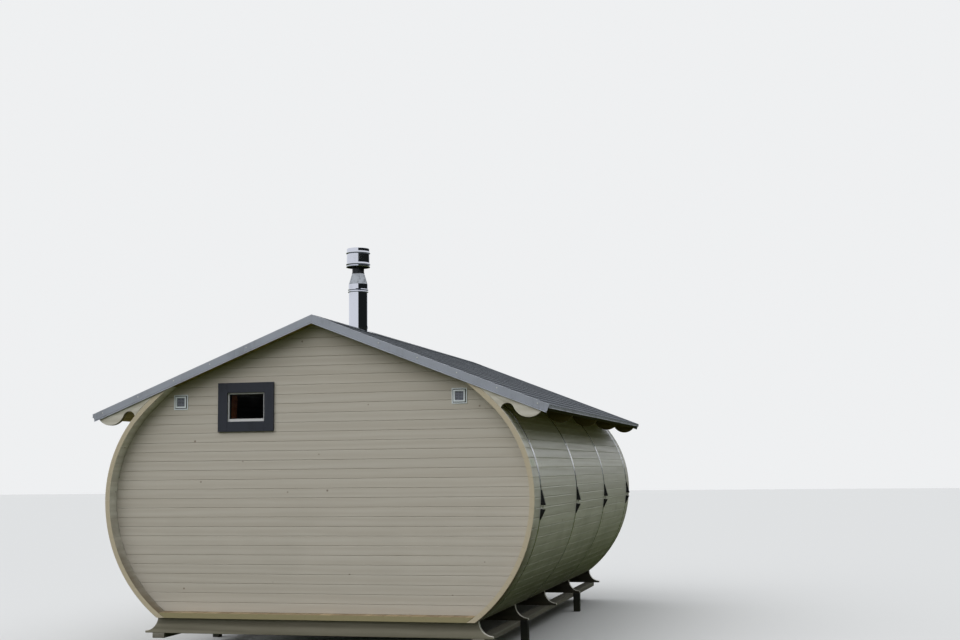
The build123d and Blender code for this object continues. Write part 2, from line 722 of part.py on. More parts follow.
def chimney_cap():
    """The drum over the neck with two beads around it, closed by a lid and held on fins."""
    bottom = CAP_TOP - CAP_HEIGHT
    drum = tube(CAP_RADIUS, CAP_RADIUS - SHEET, bottom, CAP_TOP)
    drum += CHIMNEY_AXIS * Pos(0, 0, CAP_TOP - LID_HEIGHT / 2) * Cylinder(CAP_RADIUS, LID_HEIGHT)
    for place in BEAD_PLACES:
        z = bottom + place
        drum += tube(CAP_RADIUS + BEAD_DEPTH, CAP_RADIUS - SHEET, z - BEAD_HEIGHT / 2, z + BEAD_HEIGHT / 2)
    fin_reach = CAP_RADIUS - SHEET / 2 - NECK_RADIUS - PIPE_FIT
    fin_x = NECK_RADIUS + PIPE_FIT + fin_reach / 2
    fin_z = NECK_TOP - FIN_INSET - FIN_HEIGHT / 2
    for step in range(FIN_COUNT):
        turn = 360 / FIN_COUNT * step
        drum += CHIMNEY_AXIS * Rot(0, 0, turn) * Pos(fin_x, 0, fin_z) * Box(fin_reach, SHEET, FIN_HEIGHT)
    return drum


# All nodes

SIDES = {"left": -1, "right": 1}
NODES = {
    "floor": floor(),
    "rear_wall": rear_wall(),
    "front_wall_left": front_wall("left"),
    "front_wall_right": front_wall("right"),
    "front_wall_over_door": front_wall("over"),
    "window_casing": window_casing(),
    "window_frame": window_frame(),
    "window_glass": window_glass(),
    "vent_frames": [vent_frame(side) for side in SIDES.values()],
    "vent_grilles": [vent_grille(side) for side in SIDES.values()],
    "door_frame": door_frame(),
    "door_leaf": door_leaf(),
    "door_hinges": door_hinges(),
    "door_handle": door_handle(),
    "ridge_cap": ridge_cap(),
    "verge_flashing_rear": verge_flashing("rear"),
    "verge_flashing_front": verge_flashing("front"),
    "support_posts": support_posts(),
    "hoops": hoops(),
    "tensioner_brackets": tensioner_brackets(),
    "tensioner_rods": tensioner_rods(),
    "chimney_pipe": chimney_pipe(),
    "chimney_boot": chimney_boot(),
    "chimney_collar": chimney_collar(),
    "chimney_cone": chimney_cone(),
    "chimney_cap": chimney_cap(),
}
for name, side in SIDES.items():
    NODES["runner_" + name] = runner(side)
    NODES["roof_deck_" + name] = roof_deck(side)
    NODES["shingles_" + name] = shingles(side)
    NODES["eave_brackets_" + name] = eave_brackets(side)
    for arc in ARC_SPAN:
        NODES["side_wall_" + name + "_" + arc] = side_wall(arc, side)
for number, place in enumerate(CRADLE_PLACES, 1):
    NODES["cradle_" + str(number)] = cradle(place)

os.makedirs("parts", exist_ok=True)
for name, shape in NODES.items():
    solids = []
    for piece in shape if isinstance(shape, list) else [shape]:
        solids += piece.solids()
    export_step(solids[0] if len(solids) == 1 else Compound(children=solids), "parts/" + name + ".step")
print(len(NODES), "nodes written")
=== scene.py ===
# %% [markdown]
# # An oval barrel cabin with a shingled gable roof
# The construction comes in as a fixed frame, in metres: floor, walls, roof, hoops, chimney and base, all at
# their real size. This lesson dresses that frame. Plain walls become boards, the barrel becomes staves, the
# roof gets its courses of shingles, and every surface gets a finish of its own.

import random
from math import asin, atan2, ceil, cos, degrees, pi, radians, sin

import bpy
from mathutils import Matrix, Vector


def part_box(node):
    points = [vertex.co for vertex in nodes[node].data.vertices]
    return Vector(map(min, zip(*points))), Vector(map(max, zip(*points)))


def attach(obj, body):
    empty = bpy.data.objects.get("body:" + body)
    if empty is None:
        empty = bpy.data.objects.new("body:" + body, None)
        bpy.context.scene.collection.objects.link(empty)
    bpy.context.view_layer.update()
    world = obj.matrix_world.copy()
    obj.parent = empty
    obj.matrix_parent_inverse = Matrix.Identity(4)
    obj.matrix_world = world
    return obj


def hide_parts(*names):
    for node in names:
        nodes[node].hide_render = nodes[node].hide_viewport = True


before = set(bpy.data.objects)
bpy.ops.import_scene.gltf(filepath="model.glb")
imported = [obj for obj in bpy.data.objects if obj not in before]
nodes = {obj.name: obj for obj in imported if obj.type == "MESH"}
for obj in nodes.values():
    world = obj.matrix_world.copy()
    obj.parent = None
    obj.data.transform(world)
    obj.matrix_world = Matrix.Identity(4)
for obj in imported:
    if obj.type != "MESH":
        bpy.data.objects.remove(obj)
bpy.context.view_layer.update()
bpy.ops.object.select_all(action="DESELECT")

# %% [markdown]
# ## Camera
# The camera stands where the photograph was taken: behind the cabin, well to its right and at eye height.
# A camera could be aimed with a constraint, but its place, three angles and focal length were worked out
# from the cabin's own corners, so they are set directly.

# %% Camera
PHOTO_WIDTH = 960.0
FOCAL_PIXELS = 1363.1
CAMERA_PLACE = (4.336, -14.299, 1.651)
CAMERA_YAW = radians(13.83)
CAMERA_PITCH = radians(6.19)
CAMERA_ROLL = radians(-0.64)

bpy.ops.object.camera_add(location=CAMERA_PLACE)
camera = bpy.context.object
camera.name = "camera"
camera.data.lens = camera.data.sensor_width * FOCAL_PIXELS / PHOTO_WIDTH
aim = Matrix.Rotation(CAMERA_YAW, 4, "Z") @ Matrix.Rotation(pi / 2 + CAMERA_PITCH, 4, "X")
camera.matrix_world = Matrix.Translation(CAMERA_PLACE) @ aim @ Matrix.Rotation(CAMERA_ROLL, 4, "Z")
bpy.context.scene.camera = camera
print("lens", round(camera.data.lens, 2), "mm")

# %% [markdown]
# ## Node helpers
# Materials here are built from nodes in code, and a few helpers keep that readable. One turns a colour as a
# paint chart gives it into the values that nodes expect, one adds a node and fills its inputs, and the rest
# shorten the sums, mixes and new materials that keep coming back.

# %% Node helpers
def paint(red, green, blue):
    """A colour given as on a screen, 0 to 255, in the linear values that nodes use."""
    linear = []
    for part in (red, green, blue):
        share = part / 255
        linear.append(share / 12.92 if share <= 0.04045 else ((share + 0.055) / 1.055) ** 2.4)
    return (*linear, 1.0)


def add(tree, kind, inputs=None, **settings):
    """Add a shader node, set its options, and fill or link its inputs by name or number."""
    made = tree.nodes.new("ShaderNode" + kind)
    for option, value in settings.items():
        setattr(made, option, value)
    for place, value in (inputs or {}).items():
        if isinstance(value, bpy.types.NodeSocket):
            tree.links.new(value, made.inputs[place])
        else:
            made.inputs[place].default_value = value
    return made


def maths(tree, operation, first, second=0.0):
    """One sum on two values, which are numbers or sockets."""
    return add(tree, "Math", {0: first, 1: second}, operation=operation).outputs[0]


def product(tree, first, *others):
    """Several values multiplied together."""
    for other in others:
        first = maths(tree, "MULTIPLY", first, other)
    return first


def mixed(tree, share, first, second):
    """Two colours mixed by a share."""
    return add(tree, "Mix", {0: share, 6: first, 7: second}, data_type="RGBA").outputs[2]


def graded(tree, value, low, high, out_low=0.0, out_high=1.0):
    """A value remapped smoothly from one range to another and held at its ends."""
    inputs = {"Value": value, "From Min": low, "From Max": high, "To Min": out_low, "To Max": out_high}
    return add(tree, "MapRange", inputs, interpolation_type="SMOOTHSTEP").outputs["Result"]


def pointing(tree, way, axis):
    """How far a direction points along an axis: 1 is the same way, 0 is across and -1 is the other way."""
    return add(tree, "VectorMath", {0: way, 1: axis}, operation="DOT_PRODUCT").outputs["Value"]


def new_finish(name):
    """A new material, its node tree and its shader."""
    material = bpy.data.materials.new(name)
    material.use_nodes = True
    return material, material.node_tree, material.node_tree.nodes["Principled BSDF"]


def set_relief(tree, shader, height, strength, distance):
    """Bump on a shader from a height that varies over the surface."""
    bump = add(tree, "Bump", {"Height": height, "Strength": strength, "Distance": distance})
    tree.links.new(bump.outputs[0], shader.inputs["Normal"])


# %% [markdown]
# ## Light and floor
# The photograph has an overcast sky: soft light from above and deep shade under the eaves. Lamps could be
# placed one by one, but a sky that is brighter overhead, with one very wide sun, gives that light from every
# side. The surroundings are darker than the sky, low all round and far higher on the right, and polished
# steel mirrors that. A ray that the pane turns back counts as a mirror's ray too, or the pane would show the
# pale background. The floor looks pale to the camera and sends back a dim green light.

# %% Light
SKY_ZENITH = (1.20, 1.24, 1.28, 1)
SKY_LEFT = (0.52, 0.53, 0.54, 1)
SKY_RIGHT = (0.11, 0.12, 0.09, 1)
SIDE_BLEND = (-0.7, 0.7)
RIGHT_START = 0.35
SHADE_TOP = 0.75
SKY_GLOSS = (0.86, 0.88, 0.92, 1)
DARK_GLOSS = (0.012, 0.014, 0.014, 1)
RIGHT_WAY = (0.946, 0.325, 0.0)
AHEAD_WAY = (-0.325, 0.946, 0.0)
DARK_LOW = (0.05, 0.08)
DARK_HIGH = (0.28, 0.42)
DARK_SIDE = (-0.02, 0.03)
DARK_END = (0.74, 0.86)
ONE_MIRROR = 0.5
BACKGROUND = (0.86, 0.87, 0.88, 1)
SUN_STRENGTH = 1.0
SUN_SPREAD = radians(60)
SUN_TILT = radians(48)
SUN_YAW = radians(-30)


def make_sky():
    """Light for surfaces, darker surroundings for mirrors, and a pale background for the camera."""
    world = bpy.data.worlds.new("overcast_sky")
    world.use_nodes = True
    tree = world.node_tree
    tree.nodes.clear()
    way = add(tree, "TexCoord").outputs["Generated"]
    height = add(tree, "SeparateXYZ", {0: way}).outputs["Z"]
    aside = pointing(tree, way, RIGHT_WAY)
    ahead = pointing(tree, way, AHEAD_WAY)
    to_right = graded(tree, aside, *SIDE_BLEND)
    low = mixed(tree, to_right, SKY_LEFT, SKY_RIGHT)
    start = maths(tree, "MULTIPLY", to_right, RIGHT_START)
    glow = mixed(tree, graded(tree, height, start, SHADE_TOP), low, SKY_ZENITH)
    high_up = graded(tree, height, *DARK_HIGH, 1.0, 0.0)
    at_side = graded(tree, aside, *DARK_SIDE)
    before_end = graded(tree, ahead, *DARK_END, 1.0, 0.0)
    dark_right = product(tree, high_up, at_side, before_end)
    all_round = graded(tree, height, *DARK_LOW, 1.0, 0.0)
    mirror_view = mixed(tree, maths(tree, "MAXIMUM", dark_right, all_round), SKY_GLOSS, DARK_GLOSS)
    path = add(tree, "LightPath").outputs
    passed = path["Is Transmission Ray"]
    turned_back = product(tree, passed, maths(tree, "GREATER_THAN", path["Glossy Depth"], ONE_MIRROR))
    glow = mixed(tree, maths(tree, "MAXIMUM", path["Is Glossy Ray"], turned_back), glow, mirror_view)
    seen = maths(tree, "MAXIMUM", path["Is Camera Ray"], maths(tree, "SUBTRACT", passed, turned_back))
    lit = add(tree, "Background", {"Color": glow})
    plain = add(tree, "Background", {"Color": BACKGROUND})
    blend = add(tree, "MixShader", {0: seen, 1: lit.outputs[0], 2: plain.outputs[0]})
    add(tree, "OutputWorld", {0: blend.outputs[0]})
    bpy.context.scene.world = world


make_sky()
bpy.ops.object.light_add(type="SUN", rotation=(SUN_TILT, 0, SUN_YAW))
sun = bpy.context.object
sun.name = "wide_sun"
sun.data.energy = SUN_STRENGTH
sun.data.angle = SUN_SPREAD
sun.visible_glossy = False
print("sun", SUN_STRENGTH, "over", round(degrees(SUN_SPREAD)), "degrees")

# %% Floor
FLOOR_SIZE = 160.0
FLOOR_SEEN = (0.62, 0.615, 0.61, 1)
FLOOR_SENT = (0.055, 0.066, 0.024, 1)

bpy.ops.mesh.primitive_plane_add(size=FLOOR_SIZE)
ground = bpy.context.object
ground.name = "ground"
ground_finish, ground_tree, ground_shader = new_finish("ground")
ground_path = add(ground_tree, "LightPath").outputs
ground_shown = mixed(ground_tree, ground_path["Is Camera Ray"], FLOOR_SENT, FLOOR_SEEN)
ground_tree.links.new(ground_shown, ground_shader.inputs["Base Color"])
ground_shader.inputs["Roughness"].default_value = 1.0
ground_shader.inputs["Specular IOR Level"].default_value = 0.0
ground.data.materials.append(ground_finish)
bpy.context.scene.view_settings.view_transform = "Standard"

# %% [markdown]
# ## Modelling helpers
# Every new piece is made as by hand: a primitive, a few moves in edit mode, then modifiers that are applied.
# The helpers below only select things in code, because there is no mouse to click with, and put the finished
# mesh at its place with the object left at the origin.

# %% Selecting and applying
FACING = 0.9
NEAR = 0.0001


def alone(piece):
    """Leave edit mode, and select one object and nothing else."""
    if bpy.context.object and bpy.context.object.mode != "OBJECT":
        bpy.ops.object.mode_set(mode="OBJECT")
    bpy.ops.object.select_all(action="DESELECT")
    piece.select_set(True)
    bpy.context.view_layer.objects.active = piece
    return piece


def pick(piece, kind, test):
    """Enter edit mode with the faces whose middle and normal pass a test, or the edges or points that do."""
    alone(piece)
    bpy.ops.object.mode_set(mode="EDIT")
    bpy.ops.mesh.select_mode(type=kind)
    bpy.ops.mesh.select_all(action="DESELECT")
    bpy.ops.object.mode_set(mode="OBJECT")
    mesh = piece.data
    if kind == "FACE":
        for face in mesh.polygons:
            face.select = test(face.center, face.normal)
    elif kind == "EDGE":
        for edge in mesh.edges:
            edge.select = test(*[mesh.vertices[end].co for end in edge.vertices])
    else:
        for corner in mesh.vertices:
            corner.select = test(corner.co)
    bpy.ops.object.mode_set(mode="EDIT")


def pick_all(piece):
    """Enter edit mode with the whole mesh selected."""
    pick(piece, "VERT", lambda place: True)


def leave():
    """Back to object mode."""
    bpy.ops.object.mode_set(mode="OBJECT")


def bevel_picked(offset, segments=2):
    """Round the edges that are selected, and leave edit mode."""
    bpy.ops.mesh.bevel(offset=offset, segments=segments, affect="EDGES")
    leave()


def settle(piece):
    """Write the object's place, turn and size into its mesh."""
    alone(piece)
    bpy.ops.object.transform_apply(location=True, rotation=True, scale=True)
    return piece


def apply_modifier(piece, kind, **settings):
    """Add a modifier, set it and apply it."""
    alone(piece)
    modifier = piece.modifiers.new(kind.lower(), kind)
    for option, value in settings.items():
        setattr(modifier, option, value)
    bpy.ops.object.modifier_apply(modifier=modifier.name)
    return piece


def rounded(piece, width, segments=2, **settings):
    """Round the sharp edges of a whole piece."""
    return apply_modifier(piece, "BEVEL", width=width, segments=segments, limit_method="ANGLE", **settings)


def repeated(piece, count, step):
    """Repeat a piece in a row, each copy one step on."""
    return apply_modifier(piece, "ARRAY", count=count, use_relative_offset=False, use_constant_offset=True,
                          constant_offset_displace=step)


def combined(piece, operation, cutter):
    """Cut a solid away from a piece, or keep only what lies inside it."""
    return apply_modifier(piece, "BOOLEAN", operation=operation, object=cutter, solver="EXACT")


def box_between(name, low, high):
    """A cube primitive set between two corners."""
    bpy.ops.object.select_all(action="DESELECT")
    middle = [(a + b) / 2 for a, b in zip(low, high)]
    bpy.ops.mesh.primitive_cube_add(size=1, location=middle, scale=[b - a for a, b in zip(low, high)])
    bpy.context.object.name = name
    return settle(bpy.context.object)


# %% Copying, joining and handing over
MERGE_DISTANCE = 0.00002
FLAT_WITHIN = radians(0.3)
SHARP_FROM = radians(35)


def copy_at(piece, matrix, name=None):
    """A copy with a mesh of its own, moved by a matrix that goes into the mesh."""
    twin = piece.copy()
    twin.data = piece.data.copy()
    twin.name = name or piece.name
    bpy.context.collection.objects.link(twin)
    twin.data.transform(matrix)
    if matrix.determinant() < 0:
        twin.data.flip_normals()
    return twin


def joined(pieces, name):
    """Several objects as one mesh."""
    alone(pieces[0])
    for piece in pieces:
        piece.select_set(True)
    bpy.ops.object.join()
    pieces[0].name = name
    pieces[0].data.name = name
    return pieces[0]


def discard(piece):
    """Remove an object that only helped."""
    bpy.data.objects.remove(piece, do_unlink=True)


def smooth(piece, angle=20):
    """Smooth shading on faces that meet at less than an angle."""
    alone(piece)
    bpy.ops.object.shade_smooth_by_angle(angle=radians(angle))
    return piece


def refinish(piece, finish):
    """Give a piece, or a node that stays, one finish in place of what it had."""
    piece.data.materials.clear()
    piece.data.materials.append(finish)


def hand_over(piece, finish, slot, *stands_for):
    """Give a finished piece its material and its body, and hide the nodes that it stands for. Its slot is
    not used.
    """
    refinish(piece, finish)
    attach(piece, "root")
    if stands_for:
        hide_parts(*stands_for)
    print(piece.name, len(piece.data.polygons), "faces")
    return piece


def solid_copy(node, name):
    """A copy of a node's mesh with its loose triangles merged into whole flat faces."""
    twin = copy_at(nodes[node], Matrix.Identity(4), name)
    for key in list(twin.keys()):
        del twin[key]
    twin.parent = None
    pick_all(twin)
    bpy.ops.mesh.remove_doubles(threshold=MERGE_DISTANCE)
    bpy.ops.mesh.dissolve_limited(angle_limit=FLAT_WITHIN)
    leave()
    return twin


def softened(node, name, edge, angle=20):
    """A node's shape with its sharp edges rounded, as sanded or painted edges are."""
    piece = solid_copy(node, name)
    return smooth(rounded(piece, edge, angle_limit=SHARP_FROM, use_clamp_overlap=True), angle)


# %% [markdown]
# ## Tone of each board
# No two boards of a wall have the same colour. A number between 0 and 1 is stored on every face, one number
# for each board, and the timber finish reads it to lighten or darken that board and to shift its grain.
# A texture split into cells could do the same on a flat wall, but not around a barrel.

# %% Tone of each board
SEED_STEP = 1000


def mark_boards(piece, number_of, seed):
    """Store a random tone for each board. number_of tells from a face's middle which board it is on."""
    tones = []
    for face in piece.data.polygons:
        tones.append(random.Random(seed * SEED_STEP + number_of(face.center)).random())
    if "board" in piece.data.attributes:
        piece.data.attributes.remove(piece.data.attributes["board"])
    layer = piece.data.attributes.new("board", "FLOAT", "FACE")
    layer.data.foreach_set("value", tones)
    return piece


# %% [markdown]
# ## Timber finish
# The cabin is planed spruce that has greyed a little. One node group makes the grain of all its boards: fine
# fibres and slow rings along the board, a few knots, and the tone of each board. A second one darkens and
# greens what is near the ground: damp on the base, damp and painted shade on the staves, and painted shade
# at the foot of the end walls. Each timber material then places both with its own colours.

# %% Grain group
BOARD_SHIFT = (17, 29, 23)
FIBRE_SHARE, RING_SHARE, SLOW_SHARE = 0.5, 0.22, 0.28
GRAIN_SPAN = (0.25, 0.75)
KNOT_SPAN = (0.030, 0.058)
KNOT_COLOUR = paint(92, 66, 44)
KNOT_SHARE = 0.62
KNOT_DEPTH = 0.3
RAGGED_LEAST = 0.35
DAMP_AND_SHADE_FADE = (0.15, 1.0)


def new_group(name, inputs, outputs):
    """An empty shader node group with its sockets."""
    group = bpy.data.node_groups.new(name, "ShaderNodeTree")
    kinds = {"value": "NodeSocketFloat", "colour": "NodeSocketColor", "vector": "NodeSocketVector"}
    for label, kind in inputs:
        group.interface.new_socket(label, in_out="INPUT", socket_type=kinds[kind])
    for label, kind in outputs:
        group.interface.new_socket(label, in_out="OUTPUT", socket_type=kinds[kind])
    return group, group.nodes.new("NodeGroupInput").outputs, group.nodes.new("NodeGroupOutput").inputs


def make_grain_group():
    """Colour and height of a planed board. Along has its length squeezed, and Place is as it is."""
    wanted = [("Along", "vector"), ("Place", "vector"), ("Board", "value"), ("Light", "colour"),
              ("Dark", "colour"), ("Spread", "value")]
    tree, given, result = new_group("board_grain", wanted, [("Color", "colour"), ("Height", "value")])
    shift = add(tree, "VectorMath", {0: BOARD_SHIFT, "Scale": given["Board"]}, operation="SCALE").outputs[0]
    along = add(tree, "VectorMath", {0: given["Along"], 1: shift}, operation="ADD").outputs[0]
    place = add(tree, "VectorMath", {0: given["Place"], 1: shift}, operation="ADD").outputs[0]
    fibres = add(tree, "TexNoise", {"Vector": along, "Scale": 30, "Detail": 6, "Roughness": 0.65}).outputs[0]
    slow = add(tree, "TexNoise", {"Vector": along, "Scale": 3.5, "Detail": 2}).outputs[0]
    wave_inputs = {"Vector": along, "Scale": 4.5, "Distortion": 9, "Detail": 2, "Detail Scale": 0.8}
    rings = add(tree, "TexWave", wave_inputs, bands_direction="Z").outputs["Fac"]
    grain = maths(tree, "ADD", product(tree, fibres, FIBRE_SHARE), product(tree, rings, RING_SHARE))
    grain = maths(tree, "ADD", grain, product(tree, slow, SLOW_SHARE))
    knot_far = add(tree, "TexVoronoi", {"Vector": place, "Scale": 4.6}).outputs["Distance"]
    knot = graded(tree, knot_far, *KNOT_SPAN, 1.0, 0.0)
    colour = mixed(tree, graded(tree, grain, *GRAIN_SPAN), given["Dark"], given["Light"])
    from_middle = maths(tree, "SUBTRACT", given["Board"], 0.5)
    tone = maths(tree, "ADD", product(tree, from_middle, given["Spread"]), 1.0)
    toned = add(tree, "VectorMath", {0: colour, "Scale": tone}, operation="SCALE").outputs[0]
    knotted = mixed(tree, product(tree, knot, KNOT_SHARE), toned, KNOT_COLOUR)
    tree.links.new(knotted, result["Color"])
    tree.links.new(maths(tree, "SUBTRACT", grain, product(tree, knot, KNOT_DEPTH)), result["Height"])
    return tree


def make_damp_and_shade_group():
    """A mask of rising damp and painted shade: all at the ground and none above the given height,
    with a ragged edge.
    """
    wanted = [("Place", "vector"), ("Top", "value")]
    tree, given, result = new_group("rising_damp_and_shade", wanted, [("Mask", "value")])
    height = add(tree, "SeparateXYZ", {0: given["Place"]}).outputs["Z"]
    ragged = add(tree, "TexNoise", {"Vector": given["Place"], "Scale": 3.0, "Detail": 5}).outputs[0]
    reach = product(tree, maths(tree, "ADD", ragged, RAGGED_LEAST), given["Top"])
    risen = maths(tree, "DIVIDE", height, reach)
    tree.links.new(graded(tree, risen, *DAMP_AND_SHADE_FADE, 1.0, 0.0), result["Mask"])
    return tree


GRAIN = make_grain_group()
DAMP_AND_SHADE = make_damp_and_shade_group()


# %% Timber materials
RUN_SCALE = {"X": (0.07, 1, 1), "Y": (1, 0.07, 1), "Z": (1, 1, 0.07)}
RUN_AXIS = {"X": (1, 0, 0), "Y": (0, 1, 0), "Z": (0, 0, 1)}
MOSS_AND_SHADE = paint(68, 70, 42)
RIM_BROWN = paint(96, 76, 44)
RIM_BROWN_REACH = (2.66, 2.93)
RIM_BROWN_TOP = 2.0
END_SPAN = (0.80, 0.95)
SIDE_SPAN = (0.5, 0.8)
HEIGHT_SPAN = (0.2, 0.8)
ROUGH_SWING = 0.08
COAT_ROUGHNESS = 0.35


def group_node(tree, group, inputs):
    """A node group placed in a material, with its inputs filled or linked."""
    return add(tree, "Group", inputs, node_tree=group).outputs


def end_mask(tree, normal, run):
    """One on faces that look along an axis, or with SIDES on every face that stands upright."""
    facing = maths(tree, "ABSOLUTE", pointing(tree, normal, RUN_AXIS["Z" if run == "SIDES" else run]))
    if run == "SIDES":
        return graded(tree, facing, *SIDE_SPAN, 1.0, 0.0)
    return graded(tree, facing, *END_SPAN)


def browner_near_rim(tree, place, colour, share):
    """Browner and darker low down on the outside, next to the open ends of the barrel."""
    along = maths(tree, "ABSOLUTE", add(tree, "SeparateXYZ", {0: place}).outputs["Y"])
    near_end = graded(tree, along, *RIM_BROWN_REACH)
    low = group_node(tree, DAMP_AND_SHADE, {"Place": place, "Top": RIM_BROWN_TOP})["Mask"]
    return mixed(tree, product(tree, near_end, low, share), colour, RIM_BROWN)


def timber(name, light, dark, run, spread=0.16, low_damp_and_shade=None, ends=None, end_way=None, rough=0.62, coat=0.0,
           near_rim_share=0.0):
    """A planed board with its grain along one axis. low_damp_and_shade is a height and a share for damp and
    painted shade near the ground, and the ends, which look along end_way, may have a colour of their own."""
    material, tree, shader = new_finish(name)
    where = add(tree, "TexCoord").outputs
    along = add(tree, "Mapping", {"Vector": where["Object"], "Scale": RUN_SCALE[run]}).outputs[0]
    board = add(tree, "Attribute", attribute_name="board").outputs["Fac"]
    inputs = {"Along": along, "Place": where["Object"], "Board": board, "Light": paint(*light),
              "Dark": paint(*dark), "Spread": spread}
    grain = group_node(tree, GRAIN, inputs)
    colour = grain["Color"]
    if low_damp_and_shade:
        mask = group_node(tree, DAMP_AND_SHADE, {"Place": where["Object"], "Top": low_damp_and_shade[0]})["Mask"]
        colour = mixed(tree, product(tree, mask, low_damp_and_shade[1]), colour, MOSS_AND_SHADE)
    if near_rim_share:
        colour = browner_near_rim(tree, where["Object"], colour, near_rim_share)
    if ends:
        colour = mixed(tree, end_mask(tree, where["Normal"], end_way or run), colour, paint(*ends))
    tree.links.new(colour, shader.inputs["Base Color"])
    roughness = graded(tree, grain["Height"], *HEIGHT_SPAN, rough + ROUGH_SWING, rough - ROUGH_SWING)
    tree.links.new(roughness, shader.inputs["Roughness"])
    set_relief(tree, shader, grain["Height"], strength=0.25, distance=0.002)
    shader.inputs["Coat Weight"].default_value = coat
    shader.inputs["Coat Roughness"].default_value = COAT_ROUGHNESS
    return material


# The darker green near the ground is a painted shade at the foot of the end walls, and damp and painted
# shade low on the staves.
WALL_TIMBER = timber("wall_timber", (194, 187, 176), (186, 178, 166), "X", spread=0.04, low_damp_and_shade=(1.8, 0.1))
STAVE_TIMBER = timber("stave_timber", (236, 234, 224), (214, 211, 198), "Y", spread=0.10, low_damp_and_shade=(1.5, 0.56),
                      ends=(190, 177, 152), rough=0.5, coat=0.5, near_rim_share=0.9)
# The soffit boards' upright edges, at the gables and the eaves, get a near-black brown, a painted shade.
SOFFIT_TIMBER = timber("soffit_timber", (160, 144, 79), (127, 110, 57), "Y", spread=0.18,
                       ends=(66, 57, 40), end_way="SIDES")
FLOOR_TIMBER = timber("floor_timber", (160, 140, 108), (130, 112, 84), "Y", spread=0.2, ends=(148, 138, 104))
BRACKET_TIMBER = timber("bracket_timber", (212, 207, 196), (192, 186, 172), "X", spread=0.1)
BRACKET_BROWN_AND_SHADE = timber("bracket_brown_and_shade", (118, 108, 62), (94, 84, 48), "X", spread=0.1)
BASE_TIMBER = timber("base_timber", (142, 136, 121), (112, 106, 92), "X", low_damp_and_shade=(0.5, 0.3))
SCALLOP_PAINTED_LIGHT = timber("scallop_painted_light", (222, 219, 210), (198, 194, 184), "Y", spread=0.1)
CRADLE_PAINTED_SHADE = timber("cradle_painted_shade", (72, 66, 56), (54, 48, 40), "X", low_damp_and_shade=(0.5, 0.35))
RUNNER_TIMBER = timber("runner_timber", (140, 135, 124), (112, 107, 96), "Y", low_damp_and_shade=(0.4, 0.2))
POST_TIMBER = timber("post_timber", (38, 38, 37), (27, 27, 26), "Z", low_damp_and_shade=(0.25, 0.3))
LINING_TIMBER = timber("lining_timber", (200, 132, 92), (160, 98, 64), "Y", spread=0.12)
DOOR_TIMBER = timber("door_timber", (188, 176, 154), (156, 142, 118), "Z", spread=0.14)
print(len(bpy.data.materials), "materials")

# %% [markdown]
# ## Boards within a wall
# A boarded wall could be drawn board by board, but its outline curves and has holes in it. It is easier to
# lay a whole field of equal boards, and then to keep only what lies inside the wall's solid, as a joiner
# runs the boards past the edge and saws them off. The field is one board with its long front edges planed
# off, repeated by an array, and cut by a Boolean with a copy of the node. Its faces stay flat shaded,
# because smoothing across such cuts leaves patches of shade on a flat wall.

# %% Field of boards
BOARD_GAP = 0.0008
GROOVE = 0.0036
BACK_OVERRUN = 0.01
END_OVERRUN = 0.1


def board_field(name, length, cover, thickness, count):
    """Boards side by side: lengths along X, stacked up Z, their grooved face at Y 0 and backs behind."""
    back = thickness + BACK_OVERRUN
    field = box_between(name, (-length / 2, 0, 0), (length / 2, back, cover - BOARD_GAP))
    pick(field, "EDGE", lambda a, b: max(a.y, b.y) < NEAR and abs(a.x - b.x) > length / 2)
    bevel_picked(GROOVE)
    return repeated(field, count, (0, 0, cover))


def axes(origin, length_way, back_way, stack_way):
    """The matrix that lays a field with its X, Y and Z along three directions."""
    matrix = Matrix((length_way, back_way, stack_way)).transposed().to_4x4()
    matrix.translation = origin
    return matrix


def boards_in(node, name, field, matrix, cover, seed):
    """A field of boards laid by a matrix and cut to one node, with a tone for each board."""
    cutter = solid_copy(node, node + "_cutter")
    piece = combined(copy_at(field, matrix, name), "INTERSECT", cutter)
    discard(cutter)
    back = matrix.inverted()
    return mark_boards(piece, lambda place: int((back @ place).z // cover), seed)


# %% [markdown]
# ## End walls
# The walls at the two ends are boarded level, and their boards cover 84 mm each: the first one starts on the
# floor, which is how the joints in the photograph fall. The front wall is three nodes, beside and over the
# door, so one field of boards is cut three times and its joints run through.

# %% End walls
WALL_COVER = 0.084
WALL_REACH = 4.3


def end_walls():
    """Level boards on the rear wall and on the three parts of the front wall."""
    low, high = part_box("rear_wall")
    count = ceil((high.z - low.z) / WALL_COVER)
    field = board_field("wall_field", WALL_REACH, WALL_COVER, high.y - low.y, count)
    rear = axes((0, low.y, low.z), (1, 0, 0), (0, 1, 0), (0, 0, 1))
    boards = boards_in("rear_wall", "rear_wall_boards", field, rear, WALL_COVER, seed=1)
    hand_over(boards, WALL_TIMBER, "wall_wood", "rear_wall")
    front_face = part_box("front_wall_left")[1].y
    front = axes((0, front_face, low.z), (-1, 0, 0), (0, -1, 0), (0, 0, 1))
    for seed, part in enumerate(("left", "right", "over_door"), 2):
        node = "front_wall_" + part
        boards = boards_in(node, node + "_boards", field, front, WALL_COVER, seed)
        hand_over(boards, WALL_TIMBER, "wall_wood", node)
    discard(field)


end_walls()

# %% [markdown]
# ## Sizes of the barrel and the roof
# Staves and shingles follow curves and slopes that no box of a node gives, so the few radii and the pitch
# that the cabin is set out with are named here. A point of the barrel's outline is found by its distance
# along the outline from the widest place, because staves are counted that way.

